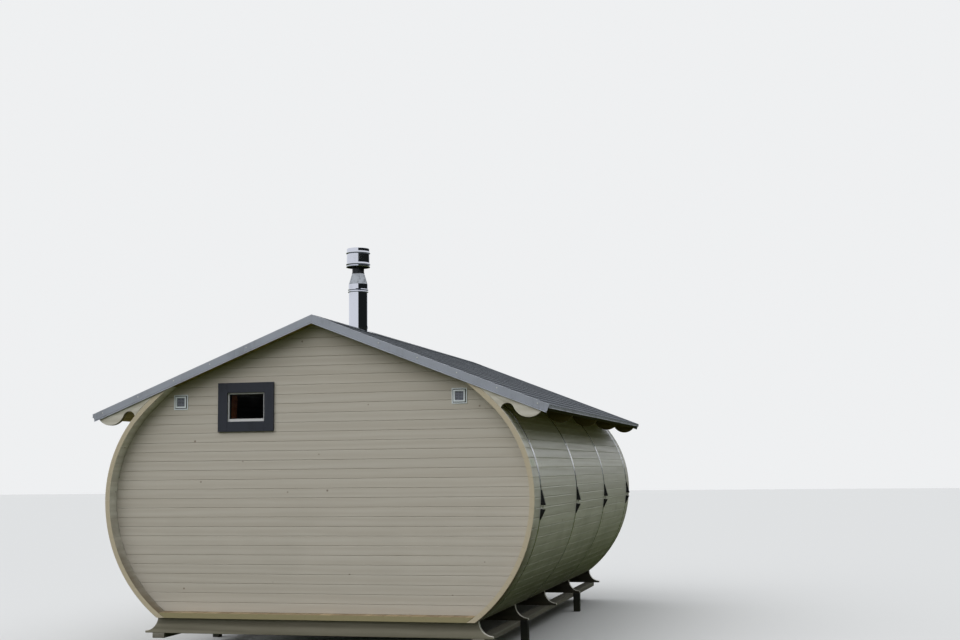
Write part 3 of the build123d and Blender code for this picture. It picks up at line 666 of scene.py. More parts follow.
# %% Sizes of the barrel and the roof
HALF_WIDTH = 2.0
BULGE_Z = 1.405
LOWER_RADIUS = 1.32
UPPER_RADIUS = 1.145
SHOULDER_RADIUS = 2.83
SHOULDER_TURN = radians(45)
STAVE_THICKNESS = 0.045
PITCH = radians(21.6)
WALL_FIT = 0.0005
FLOOR_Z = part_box("floor")[0].z
REAR_Y, FRONT_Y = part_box("floor")[0].y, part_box("floor")[1].y
DECK_THICKNESS = 0.045
RIDGE_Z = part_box("roof_deck_right")[1].z - DECK_THICKNESS / cos(PITCH)
SLOPE_DOWN = Vector((cos(PITCH), 0, -sin(PITCH)))
SLOPE_OUT = Vector((sin(PITCH), 0, cos(PITCH)))
LOWER_CENTRE = Vector((HALF_WIDTH - LOWER_RADIUS, 0, BULGE_Z))
UPPER_CENTRE = Vector((HALF_WIDTH - UPPER_RADIUS, 0, BULGE_Z))
TURNED_WAY = Vector((cos(SHOULDER_TURN), 0, sin(SHOULDER_TURN)))
SHOULDER_CENTRE = UPPER_CENTRE + (UPPER_RADIUS - SHOULDER_RADIUS) * TURNED_WAY
UPPER_LENGTH = UPPER_RADIUS * SHOULDER_TURN
FOOT_REACH = -LOWER_RADIUS * asin((BULGE_Z - FLOOR_Z) / LOWER_RADIUS)


def arc_at(reach):
    """Radius and centre of the arc at a distance along the outline, and the angle there."""
    if reach < 0:
        return LOWER_RADIUS, LOWER_CENTRE, reach / LOWER_RADIUS
    if reach < UPPER_LENGTH:
        return UPPER_RADIUS, UPPER_CENTRE, reach / UPPER_RADIUS
    return SHOULDER_RADIUS, SHOULDER_CENTRE, SHOULDER_TURN + (reach - UPPER_LENGTH) / SHOULDER_RADIUS


def outline_at(reach, depth=0.0):
    """Point of the right wall's outline at a distance along it above the widest place, and its angle."""
    radius, centre, turn = arc_at(reach)
    return centre + (radius - depth) * Vector((cos(turn), 0, sin(turn))), turn


def slope_point(run, rise):
    """Point of the right slope, by a distance down from the ridge and a height over the deck's underside."""
    return Vector((0, 0, RIDGE_Z)) + run * SLOPE_DOWN + rise * SLOPE_OUT


print("ridge at", round(RIDGE_Z, 3), "m, staves from", REAR_Y, "to", FRONT_Y)

# %% [markdown]
# ## Staves
# The barrel's sides are long boards that stand edge to edge around the curve. A stave's sides taper towards
# the inside, as a cooper planes them, and its outer edges are rounded, which gives the joints that catch the
# light low down and stay dark higher up. One stave is modelled for each curve, copied along the outline,
# and the whole side is then cut level at the floor and slanted under the roof. The left side is its mirror
# image.

# %% Staves
STAVE_COVER = 0.0865
FIRST_JOINT = -0.0125
OUTLINE_BOTTOM = -1.31
OUTLINE_TOP = 1.20
STAVE_EDGE = 0.0052


def make_stave(radius):
    """One stave along Y, its outer face at X 0 and its middle at Z 0, tapered for one radius."""
    width = STAVE_COVER - BOARD_GAP
    stave = box_between("stave", (-STAVE_THICKNESS, REAR_Y, -width / 2), (0, FRONT_Y, width / 2))
    pick(stave, "FACE", lambda middle, normal: normal.x < -FACING)
    bpy.ops.transform.resize(value=(1, 1, (radius - STAVE_THICKNESS) / radius))
    leave()
    pick(stave, "EDGE", lambda a, b: min(a.x, b.x) > -NEAR)
    bevel_picked(STAVE_EDGE)
    return stave


def stave_face(start):
    """Middle and lean of the outer face of the stave that starts at a distance along the outline."""
    first, last = outline_at(start)[0], outline_at(start + STAVE_COVER)[0]
    return (first + last) / 2, atan2(first.x - last.x, last.z - first.z)


def side_staves():
    """The staves of the right side in their places, each with its tone."""
    patterns = {radius: make_stave(radius) for radius in (LOWER_RADIUS, UPPER_RADIUS, SHOULDER_RADIUS)}
    lowest = FIRST_JOINT - ceil((FIRST_JOINT - OUTLINE_BOTTOM) / STAVE_COVER) * STAVE_COVER
    staves = []
    for number in range(ceil((OUTLINE_TOP - lowest) / STAVE_COVER)):
        start = lowest + number * STAVE_COVER
        radius = arc_at(start + STAVE_COVER / 2)[0]
        middle, lean = stave_face(start)
        place = Matrix.Translation(middle) @ Matrix.Rotation(-lean, 4, "Y")
        stave = copy_at(patterns[radius], place, "stave")
        staves.append(mark_boards(stave, lambda place: number, seed=7))
    for pattern in patterns.values():
        discard(pattern)
    print(len(staves), "staves to a side")
    return staves


def trim(piece, point, normal):
    """Saw a piece along a plane and take away what lies on the side that the normal points to."""
    pick_all(piece)
    bpy.ops.mesh.bisect(plane_co=point, plane_no=normal, use_fill=True, clear_outer=True)
    leave()


# %% Both sides of the barrel
MIRROR_X = Matrix.Scale(-1, 4, (1, 0, 0))


def barrel_sides():
    """The staves of both sides, sawn off at the floor and under the deck."""
    right = joined(side_staves(), "staves_right")
    trim(right, (0, 0, FLOOR_Z), (0, 0, -1))
    trim(right, slope_point(0, -WALL_FIT), SLOPE_OUT)
    smooth(right)
    left = copy_at(right, MIRROR_X, "staves_left")
    for side, piece in (("right", right), ("left", left)):
        wall = "side_wall_" + side
        hand_over(piece, STAVE_TIMBER, "stave_wood", wall + "_lower", wall + "_upper", wall + "_shoulder")


barrel_sides()

# %% [markdown]
# ## Floor and roof boards
# The floor and the roof deck are boards too, so the field of boards serves again, laid flat in the floor and
# down each slope with its grooved face below, where it is seen from under the eaves.

# %% Floor and roof boards
FLOOR_COVER = 0.12
DECK_COVER = 0.095
DECK_OVERRUN = 0.1


def flat_boards():
    """Boards of the floor and of both roof slopes."""
    length = FRONT_Y - REAR_Y
    low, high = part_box("floor")
    count = ceil((high.x - low.x) / FLOOR_COVER)
    field = board_field("floor_field", length + END_OVERRUN, FLOOR_COVER, high.z - low.z, count)
    lay = axes((-count * FLOOR_COVER / 2, 0, high.z), (0, -1, 0), (0, 0, -1), (1, 0, 0))
    boards = boards_in("floor", "floor_boards", field, lay, FLOOR_COVER, seed=11)
    hand_over(boards, FLOOR_TIMBER, "floor_wood", "floor")
    discard(field)
    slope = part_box("roof_deck_right")[1].x / cos(PITCH)
    count = ceil((slope + 2 * DECK_OVERRUN) / DECK_COVER)
    field = board_field("deck_field", length + 2 * END_OVERRUN, DECK_COVER, DECK_THICKNESS, count)
    for side, sign in (("right", 1), ("left", -1)):
        down = Vector((sign * cos(PITCH), 0, -sin(PITCH)))
        up = Vector((sign * sin(PITCH), 0, cos(PITCH)))
        lay = axes(Vector((0, 0, RIDGE_Z)) - DECK_OVERRUN * down, (0, sign, 0), up, down)
        node = "roof_deck_" + side
        boards = boards_in(node, "roof_boards_" + side, field, lay, DECK_COVER, seed=12)
        hand_over(boards, SOFFIT_TIMBER, "roof_wood", node)
    discard(field)


flat_boards()

# %% [markdown]
# ## Brackets, cradles, runners and posts
# The construction already has the right shape for these sawn pieces. What they lack is what sanding and
# handling leave: edges that are slightly round and catch light. A copy of each is merged, its sharp edges
# are bevelled, and the copy stands for the node. The brackets under the roof get a brown that is partly
# unweathered timber and partly painted shade, and only those at the gable ends keep the pale colour. The
# cradles' faces under the barrel get a painted shade, and their sawn scallops at the tips a painted
# highlight.

# %% Sawn pieces
WEATHERED_AND_LIT_REACH = 2.949
SCALLOP_START = 1.47
SCALLOP_UNDER = -0.1
LIT_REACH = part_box("cradle_1")[0].y + 0.001
SANDED_EDGE = 0.003
SAWN_EDGE = 0.004
POST_EDGE = 0.005


def second_finish(piece, finish, test):
    """Give another finish to the faces whose middle and normal pass a test."""
    piece.data.materials.append(finish)
    pick(piece, "FACE", test)
    piece.active_material_index = len(piece.data.materials) - 1
    bpy.ops.object.material_slot_assign()
    leave()


def sawn_pieces():
    """Rounded copies of the brackets and of everything below the floor."""
    for side in ("left", "right"):
        piece = softened("eave_brackets_" + side, "brackets_" + side, SANDED_EDGE)
        mark_boards(piece, lambda place: round(place.y * 2), seed=21)
        hand_over(piece, BRACKET_TIMBER, "roof_wood", "eave_brackets_" + side)
        # Brackets inside the gable ends: a brown that is partly unweathered timber and partly painted shade.
        second_finish(piece, BRACKET_BROWN_AND_SHADE, lambda middle, normal: abs(middle.y) < WEATHERED_AND_LIT_REACH)
        piece = softened("runner_" + side, "runner_plank_" + side, SAWN_EDGE)
        hand_over(mark_boards(piece, lambda place: 1, seed=22), RUNNER_TIMBER, "base_wood", "runner_" + side)
    for number in range(1, 6):
        node = "cradle_" + str(number)
        piece = softened(node, "cradle_board_" + str(number), SAWN_EDGE)
        hand_over(mark_boards(piece, lambda place: number, seed=23), BASE_TIMBER, "base_wood", node)
        # Cradle faces along the barrel, all but the first one's rear face: a painted shade.
        second_finish(piece, CRADLE_PAINTED_SHADE, lambda middle, normal: abs(normal.y) > FACING
                      and middle.y > LIT_REACH)
        # Scallops at the cradles' tips: a paler colour, a painted highlight.
        second_finish(piece, SCALLOP_PAINTED_LIGHT, lambda middle, normal: abs(middle.x) > SCALLOP_START
                      and abs(normal.y) < FACING and normal.z > SCALLOP_UNDER)
    piece = softened("support_posts", "square_posts", POST_EDGE)
    mark_boards(piece, lambda place: round(place.y) + 5 * round(place.x), seed=24)
    hand_over(piece, POST_TIMBER, "base_wood", "support_posts")


sawn_pieces()

# %% [markdown]
# ## Metal and paint
# The cabin has galvanised flashing, bright steel hoops and pipe, black fittings and a painted window. New
# metal isn't evenly clean: it has soft patches where rain dried, and fine scratches. One node group makes
# both, and each material decides how much they change its colour, its roughness and its surface.

# %% Wear group and sheet metal
STREAK_STRETCH = (9, 9, 0.8)
SCRATCH_STRETCH = (60, 4, 60)
PATCH_SPAN = (0.42, 0.72)
STREAK_SPAN = (0.35, 0.65, 0.3, 1.0)
SCRATCH_SPAN = (0.55, 0.75)
PATCH_HEIGHT = 0.6
SCRATCH_DULL = 0.4


def make_wear_group():
    """Patches of dried dirt that run downwards, and fine scratches."""
    wanted = [("Place", "vector"), ("Patch Size", "value")]
    made = [("Soil", "value"), ("Scratch", "value"), ("Height", "value")]
    tree, given, result = new_group("sheet_wear", wanted, made)
    scale = maths(tree, "DIVIDE", 1.0, given["Patch Size"])
    patches = add(tree, "TexNoise", {"Vector": given["Place"], "Scale": scale, "Detail": 6}).outputs[0]
    down = add(tree, "Mapping", {"Vector": given["Place"], "Scale": STREAK_STRETCH}).outputs[0]
    runs = add(tree, "TexNoise", {"Vector": down, "Scale": 5.0, "Detail": 3}).outputs[0]
    soil = product(tree, graded(tree, patches, *PATCH_SPAN), graded(tree, runs, *STREAK_SPAN))
    fine = add(tree, "Mapping", {"Vector": given["Place"], "Scale": SCRATCH_STRETCH}).outputs[0]
    scratch = add(tree, "TexNoise", {"Vector": fine, "Scale": 6.0, "Detail": 4}).outputs[0]
    tree.links.new(soil, result["Soil"])
    tree.links.new(graded(tree, scratch, *SCRATCH_SPAN), result["Scratch"])
    tree.links.new(maths(tree, "ADD", product(tree, patches, PATCH_HEIGHT), scratch), result["Height"])
    return tree


WEAR = make_wear_group()


def worn(name, clean, soiled, metallic, rough, soil=0.5, patch=0.25, bump=0.08):
    """A sheet metal, plastic or paint with patches of dirt and fine scratches. rough is for its cleanest and
    its dullest places, soil is the strength of the patches and patch is their size."""
    material, tree, shader = new_finish(name)
    place = add(tree, "TexCoord").outputs["Object"]
    wear = group_node(tree, WEAR, {"Place": place, "Patch Size": patch})
    colour = mixed(tree, product(tree, wear["Soil"], soil), paint(*clean), paint(*soiled))
    tree.links.new(colour, shader.inputs["Base Color"])
    dull = maths(tree, "MAXIMUM", wear["Soil"], product(tree, wear["Scratch"], SCRATCH_DULL))
    tree.links.new(graded(tree, dull, 0.0, 1.0, *rough), shader.inputs["Roughness"])
    shader.inputs["Metallic"].default_value = metallic
    set_relief(tree, shader, wear["Height"], strength=bump, distance=0.001)
    return material


FLASHING_STEEL = worn("flashing_steel", (164, 168, 178), (134, 136, 142), 0.3, (0.38, 0.6))
HOOP_STEEL = worn("hoop_steel", (226, 228, 232), (176, 174, 170), 1.0, (0.18, 0.4), soil=0.4)
ROD_STEEL = worn("rod_steel", (220, 220, 216), (160, 152, 140), 0.8, (0.35, 0.55), soil=0.4, patch=0.05)
BLACK_STEEL = worn("black_steel", (30, 30, 32), (52, 50, 46), 0.3, (0.45, 0.65), soil=0.4, patch=0.1)
PIPE_STEEL = worn("pipe_steel", (214, 216, 224), (176, 178, 182), 1.0, (0.06, 0.16), soil=0.3, bump=0.01)
CONE_STEEL = worn("cone_steel", (176, 180, 184), (96, 98, 100), 1.0, (0.34, 0.55), soil=0.7, patch=0.03)
SOOT_AND_SHADE_STEEL = worn("soot_and_shade_steel", (64, 66, 70), (36, 36, 38), 0.6, (0.5, 0.7), soil=0.6, patch=0.04)
CASING_PAINT = worn("casing_paint", (40, 43, 54), (50, 51, 56), 0.0, (0.5, 0.7), soil=0.35, patch=0.12,
                    bump=0.1)
FRAME_PLASTIC = worn("frame_plastic", (206, 206, 206), (180, 178, 172), 0.0, (0.35, 0.55), soil=0.3,
                     patch=0.1)
VENT_PLASTIC = worn("vent_plastic", (224, 230, 234), (196, 200, 200), 0.0, (0.4, 0.6), soil=0.3, patch=0.05)
GRILLE_PLASTIC = worn("grille_plastic", (148, 152, 164), (112, 114, 122), 0.0, (0.5, 0.7), soil=0.4,
                      patch=0.04)
GASKET_AND_CHANNEL_DARK = worn("gasket_and_channel_dark", (34, 34, 36), (52, 50, 46), 0.0, (0.6, 0.75), soil=0.4, patch=0.05)
VENT_RING_PAINTED_SHADE = worn("vent_ring_painted_shade", (60, 64, 70), (48, 50, 54), 0.0, (0.6, 0.75), soil=0.4, patch=0.05)
PLATE_PLASTIC = worn("label_plastic", (214, 218, 198), (184, 186, 166), 0.0, (0.4, 0.6), soil=0.4,
                     patch=0.05)

# %% [markdown]
# ## Shingles
# The roof is covered with bitumen shingles: courses of tabs with narrow slots between them, each course
# lapped over the one below and shifted by half a tab. A bump texture could draw the slots, but the stepped
# butts are what gives such a roof its lines at a low angle, so the tabs are real. One tab is modelled with
# clipped corners, repeated along the eave by an array, and the row is copied up the slope.

# %% Shingle finish
GRANULE_DARK = paint(60, 64, 71)
GRANULE_PALE = paint(104, 109, 117)
TAB_TONE = paint(66, 70, 76)
FADED_TONE = paint(112, 116, 120)
SPECK_SPAN = (0.2, 0.9)
TAB_SPAN = (0.0, 1.0, 0.0, 0.45)
FADED_SPAN = (0.4, 0.7, 0.0, 0.3)
SHINGLE_ROUGHNESS = 0.85


def shingle_finish():
    """Mineral granules on bitumen: specks, slow fading, and a tone for each tab."""
    material, tree, shader = new_finish("shingle_granules")
    place = add(tree, "TexCoord").outputs["Object"]
    tab = add(tree, "Attribute", attribute_name="board").outputs["Fac"]
    specks = add(tree, "TexVoronoi", {"Vector": place, "Scale": 420}).outputs["Color"]
    speck = add(tree, "SeparateXYZ", {0: specks}).outputs["X"]
    fading = add(tree, "TexNoise", {"Vector": place, "Scale": 1.6, "Detail": 5}).outputs[0]
    colour = mixed(tree, graded(tree, speck, *SPECK_SPAN), GRANULE_DARK, GRANULE_PALE)
    colour = mixed(tree, graded(tree, tab, *TAB_SPAN), colour, TAB_TONE)
    colour = mixed(tree, graded(tree, fading, *FADED_SPAN), colour, FADED_TONE)
    tree.links.new(colour, shader.inputs["Base Color"])
    shader.inputs["Roughness"].default_value = SHINGLE_ROUGHNESS
    set_relief(tree, shader, speck, strength=0.5, distance=0.0015)
    return material


SHINGLE_GRANULES = shingle_finish()

# %% One row of tabs
SHINGLE_LOW = 0.045
SHINGLE_HIGH = 0.060
TAB_WIDTH = 0.333
TAB_SLOT = 0.009
TAB_LENGTH = 0.190
TAB_THICKNESS = 0.0045
TAB_CORNER = 0.012
EXPOSURE = 0.145
UNDERLAY = 0.004
VERGE_REAR, VERGE_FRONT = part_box("roof_deck_right")[0].y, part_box("roof_deck_right")[1].y
ROOF_LENGTH = VERGE_FRONT - VERGE_REAR
SHINGLE_EDGE = (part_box("shingles_right")[1].x - SHINGLE_HIGH * sin(PITCH)) / cos(PITCH)


def tab_row():
    """A row of tabs: along X, out of the roof along Y, and down to their butts along Z."""
    half = (TAB_WIDTH - TAB_SLOT) / 2
    tab = box_between("tab_row", (-half, 0, 0), (half, TAB_THICKNESS, TAB_LENGTH))
    pick(tab, "EDGE", lambda a, b: min(a.z, b.z) > TAB_LENGTH / 2 and abs(a.x - b.x) < half)
    bevel_picked(TAB_CORNER)
    return repeated(tab, ceil(ROOF_LENGTH / TAB_WIDTH) + 1, (TAB_WIDTH, 0, 0))


def slope_axes(run, rise, lift):
    """Places a row with its head at a run down the right slope and its butt raised by a lift."""
    tilt = Matrix.Rotation(-lift / TAB_LENGTH, 4, "X")
    return axes(slope_point(run, rise), (0, 1, 0), SLOPE_OUT, SLOPE_DOWN) @ tilt


# %% Courses of both slopes
BUTT_LIFT = SHINGLE_HIGH - SHINGLE_LOW - UNDERLAY - TAB_THICKNESS
FLUE_HOLE = 0.107
HOLE_SIDES = 48
CUTTER_LENGTH = 2
TONES_A_COURSE = 40
FLUE_PLACE = (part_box("chimney_pipe")[0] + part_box("chimney_pipe")[1]) / 2


def round_cutter():
    """A cylinder on the chimney's axis that cuts the hole for the pipe."""
    bpy.ops.object.select_all(action="DESELECT")
    bpy.ops.mesh.primitive_cylinder_add(vertices=HOLE_SIDES, radius=FLUE_HOLE, depth=CUTTER_LENGTH,
                                        location=FLUE_PLACE)
    return settle(bpy.context.object)


def shingled_slope():
    """All the courses of the right slope over an underlay, cut for the pipe."""
    cutter = round_cutter()
    row = tab_row()
    sheet = box_between("underlay", (-ROOF_LENGTH / 2, 0, 0), (ROOF_LENGTH / 2, UNDERLAY, SHINGLE_EDGE))
    laid = [copy_at(sheet, slope_axes(0, SHINGLE_LOW, 0), "course")]
    courses = ceil(SHINGLE_EDGE / EXPOSURE)
    for course in range(courses):
        head = SHINGLE_EDGE - course * EXPOSURE - TAB_LENGTH
        along = VERGE_REAR + (course % 2) * TAB_WIDTH / 2
        place = Matrix.Translation((0, along, 0)) @ slope_axes(head, SHINGLE_LOW + UNDERLAY, BUTT_LIFT)
        laid.append(copy_at(row, place, "course"))
    for course in [laid[0]] + laid[-2:]:
        combined(course, "DIFFERENCE", cutter)
    for helper in (row, sheet, cutter):
        discard(helper)
    print(courses, "courses of", round(EXPOSURE * 1000), "mm")
    return joined(laid, "shingle_courses_right")


def roof_covering():
    """Both slopes, the left one a mirror image, with a tone for each tab."""
    right = shingled_slope()
    trim(right, (0, VERGE_REAR, 0), (0, -1, 0))
    trim(right, (0, VERGE_FRONT, 0), (0, 1, 0))
    trim(right, (0, 0, 0), (-1, 0, 0))
    left = copy_at(right, MIRROR_X, "shingle_courses_left")
    for side, piece in (("right", right), ("left", left)):
        mark_boards(piece, lambda place: int(abs(place.x) / (EXPOSURE * cos(PITCH))) * TONES_A_COURSE
                    + int((place.y - VERGE_REAR) / TAB_WIDTH * 2), seed=31)
        hand_over(piece, SHINGLE_GRANULES, "shingles", "shingles_" + side)


roof_covering()

# %% [markdown]
# ## Ridge
# The ridge is closed with pieces cut from the same shingles, folded over it and lapped like the courses. A
# piece is a thin box, cut through the middle so that it has an edge to fold at, and lifted there.

# %% Ridge pieces
RIDGE_WING = 0.13
RIDGE_SHEET = 0.0025
RIDGE_LIFT = 0.0013


def fold_piece():
    """One folded piece, its fold along Y and its ridge at Z 0."""
    reach = RIDGE_WING * cos(PITCH)
    piece = box_between("ridge_piece", (-reach, 0, 0), (reach, TAB_LENGTH, RIDGE_SHEET))
    pick_all(piece)
    bpy.ops.mesh.bisect(plane_co=(0, 0, 0), plane_no=(1, 0, 0))
    leave()
    pick(piece, "VERT", lambda place: abs(place.x) > NEAR)
    bpy.ops.transform.translate(value=(0, 0, -RIDGE_WING * sin(PITCH)))
    leave()
    return piece


def ridge_pieces():
    """Folded pieces lapped along the ridge, cut for the pipe, between the verge flashings."""
    low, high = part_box("ridge_cap")
    pattern = fold_piece()
    base = RIDGE_Z + SHINGLE_HIGH / cos(PITCH)
    count = int((high.y - low.y - TAB_LENGTH) / EXPOSURE) + 1
    step = (high.y - low.y - TAB_LENGTH) / (count - 1)
    cutter = round_cutter()
    laid = []
    for number in range(count):
        head = Matrix.Translation((0, low.y + number * step, base))
        place = head @ Matrix.Rotation(RIDGE_LIFT / TAB_LENGTH, 4, "X")
        piece = mark_boards(copy_at(pattern, place, "ridge_piece"), lambda middle: number, seed=32)
        if abs(low.y + number * step + TAB_LENGTH / 2 - FLUE_PLACE.y) < TAB_LENGTH / 2 + FLUE_HOLE:
            combined(piece, "DIFFERENCE", cutter)
        laid.append(piece)
    discard(cutter)
    discard(pattern)
    hand_over(joined(laid, "ridge_pieces"), SHINGLE_GRANULES, "shingles", "ridge_cap")


ridge_pieces()

# %% [markdown]
# ## Flashing
# The folded sheet on the gable ends already has its true shape in the construction, so those nodes stay and
# only get their finish. What is added is what a roofer leaves on them: a row of screws along each face, and
# a strip whose foot is bent outwards, so that rain drips off. The same strip hangs along both eaves, where
# it closes the lower edge of the shingles. It is a thin box with its lower face pushed out.

# %% Flashing and its screws
SCREW_RADIUS = 0.006
SCREW_HEIGHT = 0.003
SCREW_SPACING = 0.38
SCREW_RISE = 0.034
SCREW_START = 0.1
SCREW_RIM = 0.45
FLASHING_SHEET = 0.002
STRIP_SHEET = 0.0012
KICK_HEIGHT = 0.007
EAVE_DROP = 0.030
EAVE_KICK = 0.0015
VERGE_DROP = 0.012
VERGE_KICK = 0.0026
MIRROR_Y = Matrix.Scale(-1, 4, (0, 1, 0))


def kicked_strip(name, length, drop, kick):
    """Sheet along X that hangs down from Z 0 with its back on Y 0 and its foot bent towards -Y."""
    strip = box_between(name, (0, -STRIP_SHEET, KICK_HEIGHT - drop), (length, 0, 0))
    pick(strip, "FACE", lambda middle, normal: normal.z < -FACING)
    bpy.ops.mesh.extrude_region_move(TRANSFORM_OT_translate={"value": (0, -kick, -KICK_HEIGHT)})
    leave()
    return strip


def drip_strips():
    """Strips under both eaves and at the feet of the four gable faces."""
    edge = slope_point(SHINGLE_EDGE, SHINGLE_HIGH)
    back = edge.x - EAVE_KICK - STRIP_SHEET
    along_eave = axes((back, VERGE_REAR, edge.z), (0, 1, 0), (-1, 0, 0), (0, 0, 1))
    strip = kicked_strip("drip_strips", ROOF_LENGTH, EAVE_DROP, EAVE_KICK)
    strips = [copy_at(strip, along_eave), copy_at(strip, MIRROR_X @ along_eave)]
    discard(strip)
    flashing_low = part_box("verge_flashing_rear")[0]
    foot = slope_point(0, 0)
    foot.y = flashing_low.y + VERGE_KICK + STRIP_SHEET
    along_verge = axes(foot, SLOPE_DOWN, (0, 1, 0), SLOPE_OUT)
    strip = kicked_strip("drip_strips", SHINGLE_EDGE, VERGE_DROP, VERGE_KICK)
    for place in (along_verge, MIRROR_X @ along_verge):
        strips.append(copy_at(strip, place))
        strips.append(copy_at(strip, MIRROR_Y @ place))
    discard(strip)
    hand_over(joined(strips, "drip_strips"), FLASHING_STEEL, "flashing")


def screw_head(name, radius, height):
    """A low round head on Z 0, its rim rounded."""
    bpy.ops.object.select_all(action="DESELECT")
    middle = (0, 0, height / 2)
    bpy.ops.mesh.primitive_cylinder_add(vertices=12, radius=radius, depth=height, location=middle)
    head = settle(bpy.context.object)
    head.name = name
    pick(head, "FACE", lambda middle, normal: normal.z > FACING)
    bevel_picked(height * SCREW_RIM)
    return head


def flashing():
    """Finish of the flashing, and screws along both lengths of each gable end."""
    pattern = screw_head("verge_screws", SCREW_RADIUS, SCREW_HEIGHT)
    face = VERGE_FRONT + FLASHING_SHEET
    heads = []
    count = int(SHINGLE_EDGE / SCREW_SPACING)
    for end in (-1, 1):
        for side in (-1, 1):
            for number in range(count):
                spot = slope_point(SHINGLE_EDGE - SCREW_START - number * SCREW_SPACING, SCREW_RISE)
                place = Matrix.Translation((side * spot.x, end * face, spot.z))
                heads.append(copy_at(pattern, place @ Matrix.Rotation(-end * pi / 2, 4, "X"), "screw"))
    discard(pattern)
    for end in ("rear", "front"):
        refinish(nodes["verge_flashing_" + end], FLASHING_STEEL)
    hand_over(smooth(joined(heads, "verge_screws"), angle=40), ROD_STEEL, "flashing")


flashing()
drip_strips()

# %% [markdown]
# ## Hoops
# Each hoop is a flat steel band drawn round the barrel. Its side view is three arcs in a row, so the band is
# made as a bender would: a small rectangle, the band's section, is spun about the centre of the first arc,
# and its end is spun on about the next centre. A curve with a bevel would do too, but its section would
# twist at the joints of the arcs.

# %% Bands
BAND_WIDTH = 0.040
BAND_THICKNESS = 0.002
BAND_FIT = 0.0003
TENSIONER_DROP = 0.095
TENSIONER_GAP = 0.034
BAND_SHORT = 0.045
SHOULDER_LENGTH = 0.2196
HOOP_END = 2.68
HOOP_COUNT = 4
HOOP_PLACES = [-HOOP_END + number * 2 * HOOP_END / (HOOP_COUNT - 1) for number in range(HOOP_COUNT)]


def section_at(reach):
    """The band's section as a small rectangle across the outline."""
    point, turn = outline_at(reach, -BAND_FIT - BAND_THICKNESS / 2)
    bpy.ops.object.select_all(action="DESELECT")
    bpy.ops.mesh.primitive_plane_add(size=1, location=point, rotation=(0, -turn, 0))
    bpy.context.object.scale = (BAND_THICKNESS, BAND_WIDTH, 1)
    return settle(bpy.context.object)


def bend(centre, angle, steps):
    """Spin the selected end face about an arc's centre, up the side."""
    bpy.ops.mesh.spin(steps=steps, angle=angle, center=centre, axis=(0, 1, 0))


def close_band(band):
    """Merge what coincides, and turn every face outwards."""
    pick_all(band)
    bpy.ops.mesh.remove_doubles(threshold=0.00001)
    bpy.ops.mesh.normals_make_consistent(inside=False)
    leave()
    return smooth(band)


def upper_band():
    """From the tensioner's upper bracket over the widest place to below the deck."""
    drop = -(TENSIONER_DROP - TENSIONER_GAP / 2)
    band = section_at(drop)
    pick(band, "FACE", lambda middle, normal: True)
    bend(LOWER_CENTRE, -drop / LOWER_RADIUS, steps=3)
    bend(UPPER_CENTRE, SHOULDER_TURN, steps=20)
    bend(SHOULDER_CENTRE, (SHOULDER_LENGTH - BAND_SHORT) / SHOULDER_RADIUS, steps=4)
    leave()
    return close_band(band)


def lower_band():
    """From the foot of the barrel up to the tensioner's lower bracket."""
    top = -(TENSIONER_DROP + TENSIONER_GAP / 2)
    band = section_at(FOOT_REACH)
    pick(band, "FACE", lambda middle, normal: True)
    bend(LOWER_CENTRE, (top - FOOT_REACH) / LOWER_RADIUS, steps=24)
    leave()
    return close_band(band)


def bands():
    """Four hoops: bands on both sides and a strap under the floor between them."""
    foot_x = outline_at(FOOT_REACH)[0].x
    top = FLOOR_Z - BAND_FIT
    low = (-foot_x, -BAND_WIDTH / 2, top - BAND_THICKNESS)
    strap = box_between("strap", low, (foot_x, BAND_WIDTH / 2, top))
    patterns = [upper_band(), lower_band()]
    laid = []
    for place in HOOP_PLACES:
        move = Matrix.Translation((0, place, 0))
        laid.append(copy_at(strap, move, "band"))
        for pattern in patterns:
            laid.append(copy_at(pattern, move, "band"))
            laid.append(copy_at(pattern, move @ MIRROR_X, "band"))
    for pattern in patterns + [strap]:
        discard(pattern)
    hand_over(joined(laid, "hoop_bands"), HOOP_STEEL, "hoop_steel", "hoops")


bands()

# %% [markdown]
# ## Tensioners
# At each side a threaded rod pulls the two ends of a hoop together through folded brackets. The brackets'
# plates are in the construction. Black cheeks close their sides: a thin box with one edge pushed down into a
# wedge, set on the band at the bracket's own angle.

# %% Tensioners
UPPER_BASE = 0.130
LOWER_BASE = 0.095
TENSIONER_RISE = 0.038
CHEEK = 0.003
CHEEK_INSET = 0.001
RIM_LOW = 0.0045
FOLDED_EDGE = 0.0008
NUT_EDGE = 0.0006


def cheek_pattern(base):
    """A wedge from Z 0, where it is high, to its thin end: the side wall of one bracket."""
    high = (TENSIONER_RISE - CHEEK_INSET, CHEEK / 2, base - CHEEK_INSET)
    wedge = box_between("cheek", (0, -CHEEK / 2, 0), high)
    pick(wedge, "EDGE", lambda a, b: min(a.x, b.x) > TENSIONER_RISE / 2 and min(a.z, b.z) > base / 2)
    bpy.ops.transform.translate(value=(RIM_LOW - TENSIONER_RISE, 0, 0))
    leave()
    return rounded(wedge, FOLDED_EDGE)


